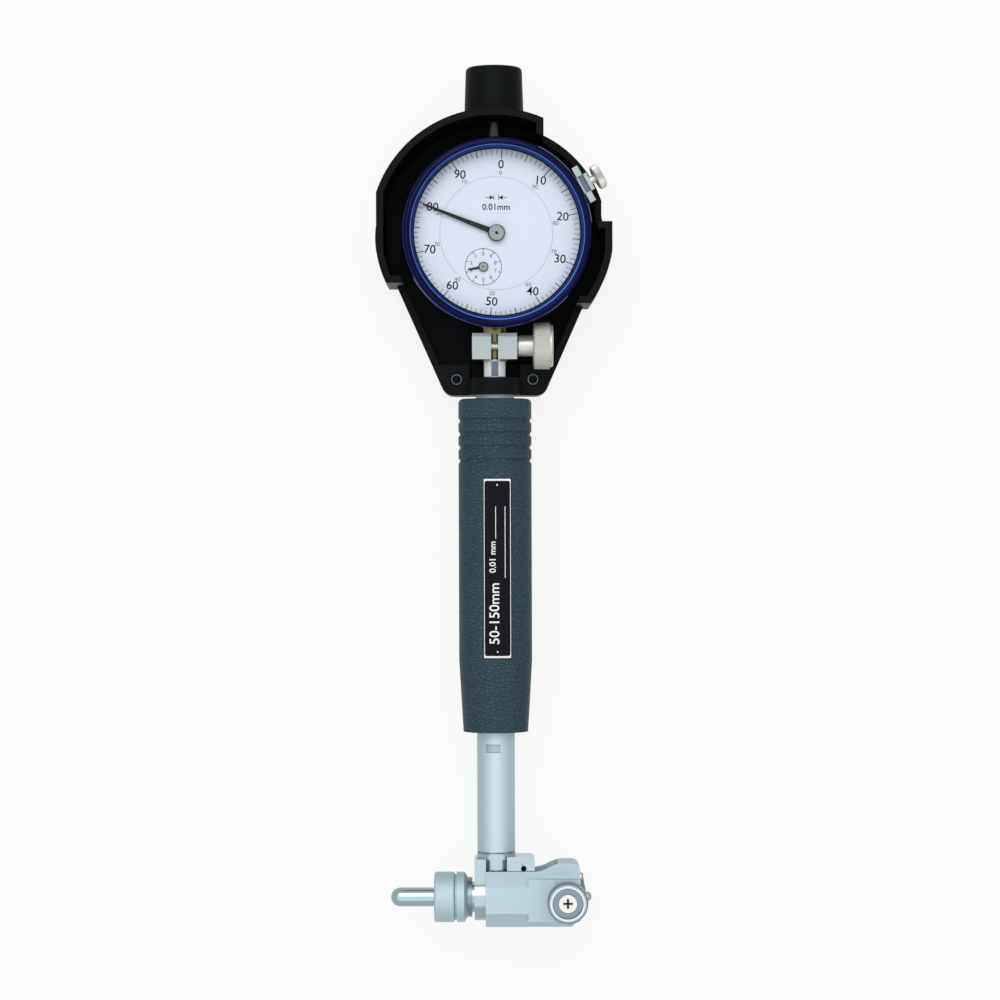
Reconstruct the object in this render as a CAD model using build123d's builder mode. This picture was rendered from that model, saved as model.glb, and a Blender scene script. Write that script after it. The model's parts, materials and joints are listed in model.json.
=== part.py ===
from build123d import *
import os
from math import cos, radians, sin

os.makedirs("parts", exist_ok=True)

# A two-point dial bore gauge, lying on its back. Millimetres.
# +Z comes out of the dial, +Y runs up the gauge, +X points to the contact tip.
# The origin lies on the surface it rests on, below the middle of the dial.

# Stem axis and working fits
AXIS_Z = 18.0                # height of the stem axis above the surface
INDICATOR_TURN = 3.5         # degrees that the indicator is turned in its clamp
RUN_FIT = 0.05               # radial clearance of a shaft that turns or slides
SEAT_FIT = 0.04              # radial clearance of a piece that is fixed in a bore
CLEAR = 0.3                  # gap between pieces that pass each other

# Indicator case, heights measured from the stem axis
CASE_R = 26.5
CASE_BACK_H = -7.6
CASE_FRONT_H = 7.0
CASE_WALL = 2.0
SPIGOT_STEP = 1.3
SPIGOT_R = CASE_R - SPIGOT_STEP
SPIGOT_HIGH = 2.2
SPIGOT_H = CASE_FRONT_H + SPIGOT_HIGH
PAD_R = 16.0
PAD_STEP = 0.4
DIAL_H = SPIGOT_H + PAD_STEP
DIAL_THICK = 0.5
COVER_THICK = 1.6
COVER_SCREW_R = 0.8
COVER_SCREW_INSET = 5.0
COVER_SCREW_PCD = 2 * (CASE_R - COVER_SCREW_INSET)
COVER_SCREW_COUNT = 4
COVER_SCREW_START = 45.0
LUG_H = 5.8
LUG_LONG = 14.0
LUG_WIDE = 5.0
LUG_HOLE_R = 2.55

# Bezel, crystal and dial
BEZEL_WALL = 3.05
BEZEL_R = SPIGOT_R + BEZEL_WALL
BEZEL_BACK_GAP = 0.4
BEZEL_BACK_H = CASE_FRONT_H + BEZEL_BACK_GAP
BEZEL_SKIRT_STEP = 1.05
BEZEL_SKIRT_R = BEZEL_R - BEZEL_SKIRT_STEP
BEZEL_SKIRT_HIGH = 2.2
BEZEL_SKIRT_SLANT = 1.0
BEZEL_LIP = 0.6
BEZEL_LIP_R = SPIGOT_R - BEZEL_LIP
BEZEL_LIP_HIGH = 0.9
BEZEL_SLOPE = 1.2
BEZEL_CROWN = 0.4
BEZEL_CROWN_R = 1.5
BEZEL_ABOVE_CRYSTAL = 2.4
SCALE_JOINT_STEP = 0.8
SCALE_JOINT_R = PAD_R + SCALE_JOINT_STEP
DIAL_GAP = 0.1

# Pointers
ARBOR_R = 0.75
COUNTER_LIFT = 0.25
COUNTER_H = DIAL_H + DIAL_THICK + COUNTER_LIFT
COUNTER_THICK = 0.3
POINTER_ANGLE = 158.5
POINTER_GAP = 1.2
POINTER_LONG = BEZEL_LIP_R - POINTER_GAP
POINTER_ROOT = 1.7
POINTER_TIP = 0.35
POINTER_LIFT = 0.55
POINTER_H = COUNTER_H + COUNTER_THICK + POINTER_LIFT
POINTER_THICK = 0.3
POINTER_HUB_R = 2.5
POINTER_HUB_THICK = 0.9
COUNTER_X = -3.9
COUNTER_Y = -10.0
COUNTER_ANGLE = 190.5
COUNTER_LONG = 4.5
COUNTER_WIDE = 0.6
COUNTER_HUB_R = 1.45
COUNTER_ARBOR_R = 0.4
CRYSTAL_LIFT = 1.2
CRYSTAL_H = POINTER_H + CRYSTAL_LIFT
CRYSTAL_THICK = 1.2
BEZEL_FRONT_H = CRYSTAL_H + CRYSTAL_THICK + BEZEL_ABOVE_CRYSTAL

# Bezel clamp, in line with a radius of the dial
BEZEL_CLAMP_ANGLE = 29.0
BRACKET_WIDE = 5.4
BRACKET_IN_R = BEZEL_R + CLEAR
BRACKET_THICK = 3.25
BRACKET_OUT_R = BRACKET_IN_R + BRACKET_THICK
BRACKET_FOOT_H = -1.0
BRACKET_TOP_H = 13.2
BRACKET_TROUGH = 1.0
CLAW_LONG = 3.1
CLAW_THICK = 1.85
CLAW_OUT_R = BRACKET_IN_R + CLAW_THICK
CLAW_TOP_H = 13.8
BEZEL_SCREW_H = 10.4
BEZEL_SCREW_R = 1.25
BEZEL_KNOB_R = 3.75
BEZEL_KNOB_THICK = 1.7
BEZEL_KNOB_NECK = 2.4
BEZEL_KNOB_START_R = BRACKET_OUT_R + BEZEL_KNOB_NECK

# Stem clamp, its screw and its knob
CLAMP_DROP = 3.0
CLAMP_LONG = 7.7
CLAMP_HALF_X = 6.7
CLAMP_TOP_Y = -CASE_R - CLAMP_DROP
CLAMP_END_Y = CLAMP_TOP_Y - CLAMP_LONG
CLAMP_BACK_H = -8.0
CLAMP_FRONT_H = 9.0
CLAMP_SLIT = 2.1
CLAMP_TOP_BEVEL = 1.1
CLAMP_END_BEVEL = 2.4
SLEEVE_R = 3.5
SLEEVE_FLANGE_R = 4.0
SLEEVE_FLANGE_THICK = 0.5
CLAMP_SCREW_DROP = 3.8
CLAMP_SCREW_Y = CLAMP_TOP_Y - CLAMP_SCREW_DROP
CLAMP_SCREW_H = 6.2
CLAMP_SCREW_R = 1.15
CLAMP_COLLAR_R = 3.15
CLAMP_COLLAR_LONG = 4.7
KNOB_R = 7.0
KNOB_LONG = 5.0
KNOB_STEP_R = 6.4
KNOB_STEP_LONG = 1.0

# Guard
GUARD_ROOM = 8.75
GUARD_RIM_R = BEZEL_R + GUARD_ROOM
GUARD_LOWER_R = GUARD_RIM_R - 1.6
GUARD_FLAT_X = GUARD_RIM_R - 2.0
GUARD_WINDOW_R = GUARD_RIM_R - 2.9
GUARD_WINDOW_FLAT_X = GUARD_RIM_R - 4.7
GUARD_LOW_R = GUARD_RIM_R - 4.1
GUARD_SLANT = 23.9
GUARD_WALL = 2.1
GUARD_FLOOR = 2.2
GUARD_RIM_Z = 31.0
GUARD_LOW_Z = 14.0
GUARD_FOOT_LONG = 10.5
GUARD_BOTTOM_Y = CLAMP_END_Y - GUARD_FOOT_LONG
GUARD_CORNER_R = 4.0
GUARD_EDGE = 0.6
WINDOW_TOP_X = 14.7
WINDOW_END_Y = 3.3
LEFT_STEP_Y = -14.8
RIGHT_STEP_Y = -21.0
CAP_LONG = 13.4
CAP_SINK = 1.4
CAP_TOP_Y = GUARD_RIM_R + CAP_LONG
CAP_FOOT_Y = GUARD_RIM_R - CAP_SINK
CAP_TOP_R = 8.4
CAP_FOOT_R = 8.9
CAP_EDGE = 1.2

# Guard base, with a hump around the tube and two screws in its wings
BASE_GAP = 1.0
BASE_TOP_Y = CLAMP_END_Y - BASE_GAP
BASE_WING_Z = 15.0
HUMP_WALL = 2.0
HUMP_LONG = 5.1
HUMP_TOP_Y = GUARD_BOTTOM_Y + HUMP_LONG
BASE_RECESS_Z = 8.0
GUARD_SCREW_X = 11.5
GUARD_SCREW_UP = 4.8
GUARD_SCREW_Y = GUARD_BOTTOM_Y + GUARD_SCREW_UP
GUARD_SCREW_R = 1.0
GUARD_SCREW_HEAD_R = 1.7
GUARD_SCREW_HEAD_H = 0.9
GUARD_SCREW_SINK = 1.1
GUARD_SCREW_TIP_Z = 0.8
HEX_SOCKET = 1.5
HEX_SIDES = 6

# Stem, spindle and spindle cap
STEM_R = 4.0
STEM_SINK = 1.8
STEM_TOP_Y = -CASE_R + STEM_SINK
STEM_SHORT = 0.6
STEM_END_Y = CLAMP_END_Y + STEM_SHORT
STEM_FLANGE_R = 4.6
STEM_FLANGE_THICK = 1.2
SPINDLE_R = 2.0
SPINDLE_BELOW_CLAMP = 2.8
SPINDLE_END_Y = CLAMP_END_Y - SPINDLE_BELOW_CLAMP
SPINDLE_ABOVE_CASE = 4.3
SPINDLE_TOP_Y = CASE_R + SPINDLE_ABOVE_CASE
SPINDLE_CAP_R = 3.0
SPINDLE_CAP_FOOT_Y = CASE_R - STEM_SINK
SPINDLE_CAP_GAP = 0.4
SPINDLE_CAP_TOP_Y = GUARD_RIM_R - GUARD_WALL - SPINDLE_CAP_GAP
SPINDLE_CAP_WALL = 1.3
SPINDLE_CAP_BORE_TOP_Y = SPINDLE_CAP_TOP_Y - SPINDLE_CAP_WALL

# Tube and push rod
TUBE_R = 5.65
TUBE_BORE_R = 3.0
TUBE_SINK = 4.9
TUBE_TOP_Y = GUARD_BOTTOM_Y + TUBE_SINK
TUBE_FREE = 36.3
ROD_R = 1.5
HUMP_R = TUBE_R + HUMP_WALL
SLEEVE_SINK = 2.6
SLEEVE_END_Y = TUBE_TOP_Y - SLEEVE_SINK

# Grip and label plate
GRIP_R = 10.95
GRIP_GAP = 1.2
GRIP_LONG = 99.6
GRIP_TOP_Y = GUARD_BOTTOM_Y - GRIP_GAP
GRIP_END_Y = GRIP_TOP_Y - GRIP_LONG
GRIP_TAPER_LONG = 21.3
GRIP_TAPER_Y = GRIP_END_Y + GRIP_TAPER_LONG
GRIP_TAPER = 1.25
GRIP_END_R = GRIP_R - GRIP_TAPER
GRIP_TOP_FILLET = 1.4
GRIP_END_FILLET = 1.2
GROOVE_FIRST = 6.6
GROOVE_FIRST_Y = GRIP_TOP_Y - GROOVE_FIRST
GROOVE_PITCH = 4.0
GROOVE_COUNT = 4
GROOVE_DEPTH = 0.45
GROOVE_ARC_R = 0.8
LABEL_TURN = 3.4
LABEL_WIDE = 8.4
LABEL_DROP = 23.8
LABEL_TOP_Y = GRIP_TOP_Y - LABEL_DROP
LABEL_LONG = 53.6
LABEL_THICK = 0.6
LABEL_SINK = 0.85
LABEL_FLOOR_H = GRIP_R - LABEL_SINK
LABEL_GAP = 0.1
TUBE_END_Y = GRIP_END_Y - TUBE_FREE

# Head body on the measuring axis
HEAD_DROP = 13.4
MEASURE_Y = TUBE_END_Y - HEAD_DROP
HEAD_SPIGOT_R = TUBE_BORE_R - SEAT_FIT
HEAD_SPIGOT_LONG = 9.0
COLLAR_LIP = 0.2
COLLAR_R = TUBE_R + COLLAR_LIP
COLLAR_LONG = 1.5
COLLAR_GROOVE = 0.3
COLLAR_GROOVE_DEEP = 0.25
COLLAR_GROOVE_R = TUBE_R - COLLAR_GROOVE_DEEP
NECK_STEP = 0.85
NECK_R = TUBE_R - NECK_STEP
BARREL_R = 7.0
BARREL_START_X = -6.5
BARREL_END_X = 18.0
FLANGE_HALF_Z = 5.5
LEFT_FLANGE_X = -3.1
LEFT_FLANGE_TOP_Y = MEASURE_Y + 11.8
RIGHT_FLANGE_START_X = 3.2
RIGHT_FLANGE_END_X = 11.5
RIGHT_FLANGE_TOP_Y = MEASURE_Y + 12.5
FLANGE_FOOT_Y = MEASURE_Y + 3.2
FLANGE_SLIT_X = 7.8
FLANGE_SLIT = 0.5
FLANGE_CORNER_R = 1.4
FLANGE_SCREW_X = 8.2
FLANGE_SCREW_Y = MEASURE_Y + 9.0
FLANGE_SCREW_R = 0.8
FLANGE_SCREW_LONG = 2.0

# Anvil side of the head
SPACER_SPIGOT_R = 4.6
WASHER_GAP = 0.7
WASHER_START_X = BARREL_START_X - WASHER_GAP
WASHER_THICK = 1.3
WASHER_R = 5.95
LOCK_COLLAR_GAP = 0.1
LOCK_COLLAR_START_X = WASHER_START_X - WASHER_THICK - LOCK_COLLAR_GAP
LOCK_COLLAR_R = 7.5
LOCK_COLLAR_LONG = 3.25
LOCK_COLLAR_END_X = LOCK_COLLAR_START_X - LOCK_COLLAR_LONG
LOCK_COLLAR_NOSE = 1.0
LOCK_COLLAR_NOSE_R = 6.0
LOCK_GROOVE = 0.5
LOCK_GROOVE_R = 6.8
NUT_START_X = LOCK_COLLAR_END_X - LOCK_GROOVE - RUN_FIT
NUT_LONG = 6.2
NUT_END_X = NUT_START_X - NUT_LONG
NUT_R = 7.55
NUT_EDGE = 0.8
SPACER_SPIGOT_REACH = 0.8
SPACER_SPIGOT_X = NUT_START_X - SPACER_SPIGOT_REACH
ANVIL_R = 2.85
ANVIL_NECK_R = 2.6
ANVIL_LONG = 13.0
ANVIL_TIP_X = NUT_END_X - ANVIL_LONG
ANVIL_ROOT_LONG = 3.6
ANVIL_ROOT_X = SPACER_SPIGOT_X + ANVIL_ROOT_LONG
ANVIL_FLANGE_THICK = 1.4

# Contact plunger, its bush and its spring
PLUNGER_R = 3.0
PLUNGER_TAIL_R = 1.8
PLUNGER_TAIL_X = 7.9
PLUNGER_NOSE_R = 0.8
PLUNGER_START_X = 11.5
BUSH_LONG = 1.0
PLUNGER_END_X = BARREL_END_X - BUSH_LONG
PLUNGER_BORE_X = 7.6
CONTACT_R = 1.55
SPRING_SIDES = 4
CONTACT_SPRING_WIRE = 0.4
CONTACT_SPRING_TURNS = 4

# Bell crank
CRANK_X = 5.0
CRANK_ARM = 5.0
CRANK_HUB_R = 1.6
CRANK_PAD_R = 1.0
CRANK_ARM_HALF = 0.7
CRANK_THICK = 3.0
CRANK_PIN_R = 0.8
CRANK_PIN_LONG = 10.0
CAVITY_HALF_Z = 1.8
CAVITY_SIDE_X = 6.9
CAVITY_LOW = 1.6
CAVITY_HIGH = 8.0

# Guide block with its rollers, measured from the measuring axis
GUIDE_WALL_Y = 1.2
GUIDE_WALL_Z = 2.6
GUIDE_HALF_Y = BARREL_R + GUIDE_WALL_Y
GUIDE_HALF_Z = BARREL_R + GUIDE_WALL_Z
GUIDE_FACE_Y = 3.9
GUIDE_TOP_Z = 6.6
GUIDE_START_X = -3.2
GUIDE_REACH = 4.3
GUIDE_BORE_END_X = BARREL_END_X + GUIDE_REACH
GUIDE_END_WALL = 2.7
GUIDE_END_X = GUIDE_BORE_END_X + GUIDE_END_WALL
GUIDE_SLOT_GAP = 0.5
GUIDE_SLOT_HALF_Z = FLANGE_HALF_Z + GUIDE_SLOT_GAP
GUIDE_SLOT_END_X = 18.4
GUIDE_TIP_GAP = 0.35
GUIDE_TIP_HOLE_R = CONTACT_R + GUIDE_TIP_GAP
CONTACT_REACH = 3.55
CONTACT_TIP_X = GUIDE_END_X + CONTACT_REACH
CREST_START_X = 11.3
CREST_LONG = 5.0
CREST_FULL_X = GUIDE_END_X - CREST_LONG
CREST_RISE = 2.5
CREST_Y = GUIDE_HALF_Y + CREST_RISE
CREST_WALL = 1.2
CREST_HALF_Z = GUIDE_SLOT_HALF_Z + CREST_WALL
CREST_CORNER_R = 2.4
CREST_FOOT_Y = 4.5
GUIDE_CORNER = 2.6
ARM_RISE = 2.2
ARM_H = GUIDE_HALF_Z + ARM_RISE
ARM_HALF_Y = 6.3
ARM_BLEND_X = 9.5
ARM_FULL_X = 17.0
ROLLER_INSET = 3.9
ROLLER_X = GUIDE_END_X - ROLLER_INSET
ROLLER_R = 6.0
ROLLER_GAP = 0.2
ROLLER_START_H = ARM_H + ROLLER_GAP
ROLLER_END_H = AXIS_Z
ROLLER_BORE_R = 2.0
ROLLER_RIM = 1.4
ROLLER_RECESS_R = ROLLER_R - ROLLER_RIM
ROLLER_RECESS = 1.4
ROLLER_CHAMFER = 0.9
ROLLER_SCREW_HEAD_R = 2.65
ROLLER_SCREW_HEAD_H = 1.1
ROLLER_SCREW_R = 1.2
ROLLER_SCREW_LONG = 4.2
CROSS_WIDE = 0.7
CROSS_LONG = 3.0
CROSS_DEEP = 0.7
GUIDE_SPRING_START_X = 9.0
GUIDE_POCKET_WALL = 0.9
GUIDE_POCKET_RIM = 1.4
GUIDE_POCKET_IN_R = PLUNGER_R + GUIDE_POCKET_WALL
GUIDE_POCKET_OUT_R = BARREL_R - GUIDE_POCKET_RIM
GUIDE_SPRING_R = (GUIDE_POCKET_IN_R + GUIDE_POCKET_OUT_R) / 2
GUIDE_SPRING_WIRE = 0.6
GUIDE_SPRING_TURNS = 6
WIRE_R = 0.22
WIRE_TOP_Y = 7.0
WIRE_STEP = 0.7
WIRE_OUT = 1.3
WIRE_OUT_X = GUIDE_END_X + WIRE_OUT
WIRE_OUT_Y = 3.0
WIRE_END_Y = 2.3
WIRE_BEND_R = 0.35

# Axes and planes
FACE = Plane(origin=(0, 0, AXIS_Z)).rotated((0, INDICATOR_TURN, 0))
DIAL_SECTION = Plane(origin=FACE.origin, x_dir=FACE.x_dir, z_dir=-FACE.y_dir)
DIAL_AXIS = Axis(FACE.origin, FACE.z_dir)
BEZEL_CLAMP = Plane(FACE.location * Rotation(0, 0, BEZEL_CLAMP_ANGLE))
POINTER_LINE = Plane(FACE.location * Rotation(0, 0, POINTER_ANGLE))
STEM_SECTION = Plane(origin=(0, 0, AXIS_Z))
STEM_CROSS = Plane(origin=(0, 0, AXIS_Z), x_dir=(1, 0, 0), z_dir=(0, -1, 0))
STEM_AXIS = Axis((0, 0, AXIS_Z), (0, 1, 0))
HEAD_SECTION = Plane(origin=(0, MEASURE_Y, AXIS_Z))
HEAD_CROSS = Plane(origin=(0, MEASURE_Y, AXIS_Z), x_dir=(0, 1, 0), z_dir=(1, 0, 0))
HEAD_AXIS = Axis((0, MEASURE_Y, AXIS_Z), (1, 0, 0))
CRANK_Y = MEASURE_Y + CRANK_ARM

# Guard outlines, shared by the shell and its base. An inset gives the inside of the wall.
slant_sin = sin(radians(GUARD_SLANT))
slant_cos = cos(radians(GUARD_SLANT))


def funnel_shape(inset):
    """The lower part of the guard, between its slanted sides."""
    side_r = GUARD_LOW_R - inset
    shoulder_y = -side_r * slant_sin
    shoulder_x = side_r * slant_cos
    foot_y = GUARD_BOTTOM_Y + inset
    foot_x = (side_r + foot_y * slant_sin) / slant_cos
    with BuildSketch() as shape:
        with BuildLine():
            Polyline(
                (-shoulder_x, shoulder_y),
                (shoulder_x, shoulder_y),
                (foot_x, foot_y),
                (-foot_x, foot_y),
                close=True,
            )
        make_face()
        fillet(shape.vertices().group_by(Axis.Y)[0], radius=GUARD_CORNER_R)
    return shape.sketch


def low_shape(inset):
    """The outline of the low wall: a disc, wider behind the window, and the funnel below it."""
    big = 3 * GUARD_RIM_R
    with BuildSketch() as shape:
        Circle(GUARD_WINDOW_R - inset)
        Rectangle(2 * (GUARD_WINDOW_FLAT_X - inset), big, mode=Mode.INTERSECT)
        Rectangle(big, big, align=(Align.CENTER, Align.MAX), mode=Mode.SUBTRACT)
        Circle(GUARD_LOW_R - inset)
        add(funnel_shape(inset))
    return shape.sketch


def high_shape(inset):
    """The outline of the high rim, cut off at the window and at the two lower steps."""
    big = 3 * GUARD_RIM_R
    with BuildSketch() as shape:
        Circle(GUARD_RIM_R - inset)
        Rectangle(big, big, align=(Align.CENTER, Align.MAX), mode=Mode.SUBTRACT)
        Circle(GUARD_LOWER_R - inset)
        Rectangle(2 * (GUARD_FLAT_X - inset), big, mode=Mode.INTERSECT)
        with Locations((WINDOW_TOP_X - inset, WINDOW_END_Y - inset)):
            Rectangle(big, big, align=(Align.MIN, Align.MIN), mode=Mode.SUBTRACT)
        with Locations((0, LEFT_STEP_Y + inset)):
            Rectangle(big, big, align=(Align.MAX, Align.MAX), mode=Mode.SUBTRACT)
        with Locations((0, RIGHT_STEP_Y + inset)):
            Rectangle(big, big, align=(Align.MIN, Align.MAX), mode=Mode.SUBTRACT)
    return shape.sketch


low_outline = low_shape(0)
low_pocket = low_shape(GUARD_WALL)
high_outline = high_shape(0)
high_pocket = high_shape(GUARD_WALL)
funnel_outline = funnel_shape(0)

# Guard shell: back wall, low wall all round, high rim and the cap on top
with BuildPart() as guard_shell:
    with BuildSketch():
        add(low_outline)
    extrude(amount=GUARD_LOW_Z)
    fillet(guard_shell.faces().sort_by(Axis.Z)[-1].edges(), radius=GUARD_EDGE)
    with BuildSketch():
        add(high_outline)
    extrude(amount=GUARD_RIM_Z)
    fillet(guard_shell.faces().sort_by(Axis.Z)[-1].edges(), radius=GUARD_EDGE)
    with BuildSketch(STEM_SECTION):
        with BuildLine():
            Polyline(
                (0, CAP_FOOT_Y),
                (CAP_FOOT_R, CAP_FOOT_Y),
                (CAP_TOP_R, CAP_TOP_Y),
                (0, CAP_TOP_Y),
                close=True,
            )
        make_face()
    revolve(axis=STEM_AXIS)
    with BuildSketch(Plane.XY.offset(GUARD_FLOOR)):
        add(low_pocket)
    extrude(amount=GUARD_RIM_Z, mode=Mode.SUBTRACT)
    with BuildSketch(Plane.XY.offset(GUARD_FLOOR)):
        add(high_pocket)
    extrude(amount=GUARD_RIM_Z, mode=Mode.SUBTRACT)
    with BuildSketch(Plane.XY.offset(GUARD_FLOOR)):
        with Locations((0, BASE_TOP_Y)):
            Rectangle(3 * GUARD_RIM_R, GUARD_RIM_R, align=(Align.CENTER, Align.MAX))
    extrude(amount=GUARD_RIM_Z, mode=Mode.SUBTRACT)
    with BuildSketch(Plane.XY.offset(GUARD_SCREW_TIP_Z)):
        with Locations((-GUARD_SCREW_X, GUARD_SCREW_Y), (GUARD_SCREW_X, GUARD_SCREW_Y)):
            Circle(GUARD_SCREW_R + SEAT_FIT)
    extrude(amount=GUARD_FLOOR, mode=Mode.SUBTRACT)
    fillet(guard_shell.edges().group_by(Axis.Y)[-1], radius=CAP_EDGE)
guard_shell.part.label = "guard_shell"
export_step(guard_shell.part, "parts/guard_shell.step")

# Guard base: wings on the back wall and a hump that holds the tube
with BuildPart() as guard_base:
    with BuildSketch(Plane.XY.offset(GUARD_FLOOR)) as wings:
        add(funnel_outline)
        with Locations((0, BASE_TOP_Y)):
            Rectangle(3 * GUARD_RIM_R, 2 * GUARD_RIM_R, align=(Align.CENTER, Align.MIN), mode=Mode.SUBTRACT)
    extrude(amount=BASE_WING_Z - GUARD_FLOOR)
    chamfer(guard_base.faces().sort_by(Axis.Z)[-1].edges(), length=GUARD_EDGE / 2)
    with BuildSketch(STEM_CROSS.offset(-HUMP_TOP_Y)):
        Circle(HUMP_R)
        with Locations((0, -AXIS_Z + GUARD_FLOOR)):
            Rectangle(2 * HUMP_R, AXIS_Z - GUARD_FLOOR, align=(Align.CENTER, Align.MIN))
    extrude(amount=HUMP_TOP_Y - GUARD_BOTTOM_Y)
    with BuildSketch(Plane.XY.offset(BASE_RECESS_Z)):
        with Locations((0, HUMP_TOP_Y)):
            Rectangle(2 * HUMP_R, 2 * HUMP_R, align=(Align.CENTER, Align.MIN))
    extrude(amount=GUARD_RIM_Z, mode=Mode.SUBTRACT)
    with BuildSketch(STEM_CROSS.offset(-HUMP_TOP_Y)):
        Circle(TUBE_R + SEAT_FIT)
    extrude(amount=HUMP_TOP_Y - GUARD_BOTTOM_Y, mode=Mode.SUBTRACT)
    with Locations(
        (-GUARD_SCREW_X, GUARD_SCREW_Y, BASE_WING_Z),
        (GUARD_SCREW_X, GUARD_SCREW_Y, BASE_WING_Z),
    ):
        CounterBoreHole(GUARD_SCREW_R + SEAT_FIT, GUARD_SCREW_HEAD_R + CLEAR, GUARD_SCREW_SINK)
guard_base.part.label = "guard_base"
export_step(guard_base.part, "parts/guard_base.step")

# Two screws that hold the base to the shell
with BuildPart() as guard_screws:
    head_z = BASE_WING_Z - GUARD_SCREW_SINK
    with BuildSketch(Plane.XY.offset(head_z)):
        with Locations((-GUARD_SCREW_X, GUARD_SCREW_Y), (GUARD_SCREW_X, GUARD_SCREW_Y)):
            Circle(GUARD_SCREW_HEAD_R)
    extrude(amount=GUARD_SCREW_HEAD_H)
    with BuildSketch(Plane.XY.offset(GUARD_SCREW_TIP_Z)):
        with Locations((-GUARD_SCREW_X, GUARD_SCREW_Y), (GUARD_SCREW_X, GUARD_SCREW_Y)):
            Circle(GUARD_SCREW_R)
    extrude(amount=head_z - GUARD_SCREW_TIP_Z)
    with BuildSketch(Plane.XY.offset(head_z + GUARD_SCREW_HEAD_H)):
        with Locations((-GUARD_SCREW_X, GUARD_SCREW_Y), (GUARD_SCREW_X, GUARD_SCREW_Y)):
            RegularPolygon(HEX_SOCKET / 2, HEX_SIDES, major_radius=False)
    extrude(amount=-GUARD_SCREW_HEAD_H / 2, mode=Mode.SUBTRACT)
guard_screws.part.label = "guard_screws"
export_step(guard_screws.part, "parts/guard_screws.step")

# Indicator case: a cup that opens at the back, with a spigot for the bezel in front
with BuildPart() as indicator_case:
    with BuildSketch(DIAL_SECTION):
        with BuildLine():
            Polyline(
                (CASE_R - CASE_WALL, CASE_BACK_H),
                (CASE_R, CASE_BACK_H),
                (CASE_R, CASE_FRONT_H),
                (SPIGOT_R, CASE_FRONT_H),
                (SPIGOT_R, SPIGOT_H),
                (PAD_R, SPIGOT_H),
                (PAD_R, DIAL_H),
                (0, DIAL_H),
                (0, CASE_FRONT_H - CASE_WALL),
                (CASE_R - CASE_WALL, CASE_FRONT_H - CASE_WALL),
                close=True,
            )
        make_face()
    revolve(axis=DIAL_AXIS)
    with BuildSketch(STEM_CROSS):
        Circle(STEM_R + SEAT_FIT)
    extrude(amount=CASE_R, mode=Mode.SUBTRACT)
    with BuildSketch(STEM_CROSS):
        Circle(SPINDLE_CAP_R + SEAT_FIT)
    extrude(amount=-CASE_R, mode=Mode.SUBTRACT)
    with BuildSketch(FACE):
        Circle(ARBOR_R + RUN_FIT)
        with Locations((COUNTER_X, COUNTER_Y)):
            Circle(COUNTER_ARBOR_R + RUN_FIT)
    extrude(amount=CASE_R, mode=Mode.SUBTRACT)
indicator_case.part.label = "indicator_case"
export_step(indicator_case.part, "parts/indicator_case.step")

# Back cover of the case, with its mounting lug
with BuildPart() as back_cover:
    with BuildSketch(FACE.offset(CASE_BACK_H)):
        Circle(CASE_R - SEAT_FIT)
    extrude(amount=-COVER_THICK)
    with BuildSketch(FACE.offset(CASE_BACK_H)):
        Circle(CASE_R - CASE_WALL - SEAT_FIT)
    extrude(amount=COVER_THICK / 2)
    with BuildSketch(FACE.offset(CASE_BACK_H - COVER_THICK)):
        RectangleRounded(LUG_WIDE, LUG_LONG, LUG_WIDE / 4)
    extrude(amount=-LUG_H)
    lug_middle_h = CASE_BACK_H - COVER_THICK - LUG_H / 2
    with BuildSketch(Plane(FACE.from_local_coords((0, 0, lug_middle_h)), z_dir=FACE.x_dir)):
        Circle(LUG_HOLE_R)
    extrude(amount=LUG_WIDE, both=True, mode=Mode.SUBTRACT)
    with BuildSketch(FACE.offset(CASE_BACK_H - COVER_THICK)):
        with PolarLocations(COVER_SCREW_PCD / 2, COVER_SCREW_COUNT, start_angle=COVER_SCREW_START):
            Circle(COVER_SCREW_R + SEAT_FIT)
    extrude(amount=2 * COVER_THICK, mode=Mode.SUBTRACT)
back_cover.part.label = "back_cover"
export_step(back_cover.part, "parts/back_cover.step")

# Four screws of the back cover
with BuildPart() as cover_screws:
    with BuildSketch(FACE.offset(CASE_BACK_H - COVER_THICK)):
        with PolarLocations(COVER_SCREW_PCD / 2, COVER_SCREW_COUNT, start_angle=COVER_SCREW_START):
            Circle(COVER_SCREW_R)
    extrude(amount=COVER_THICK * 1.5)
    with BuildSketch(FACE.offset(CASE_BACK_H - COVER_THICK)):
        with PolarLocations(COVER_SCREW_PCD / 2, COVER_SCREW_COUNT, start_angle=COVER_SCREW_START):
            Circle(2 * COVER_SCREW_R)
    extrude(amount=-COVER_SCREW_R)
    with BuildSketch(FACE.offset(CASE_BACK_H - COVER_THICK - COVER_SCREW_R)):
        with PolarLocations(COVER_SCREW_PCD / 2, COVER_SCREW_COUNT, start_angle=COVER_SCREW_START):
            SlotOverall(3 * COVER_SCREW_R, COVER_SCREW_R / 2)
    extrude(amount=COVER_SCREW_R / 2, mode=Mode.SUBTRACT)
cover_screws.part.label = "cover_screws"
export_step(cover_screws.part, "parts/cover_screws.step")

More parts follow.
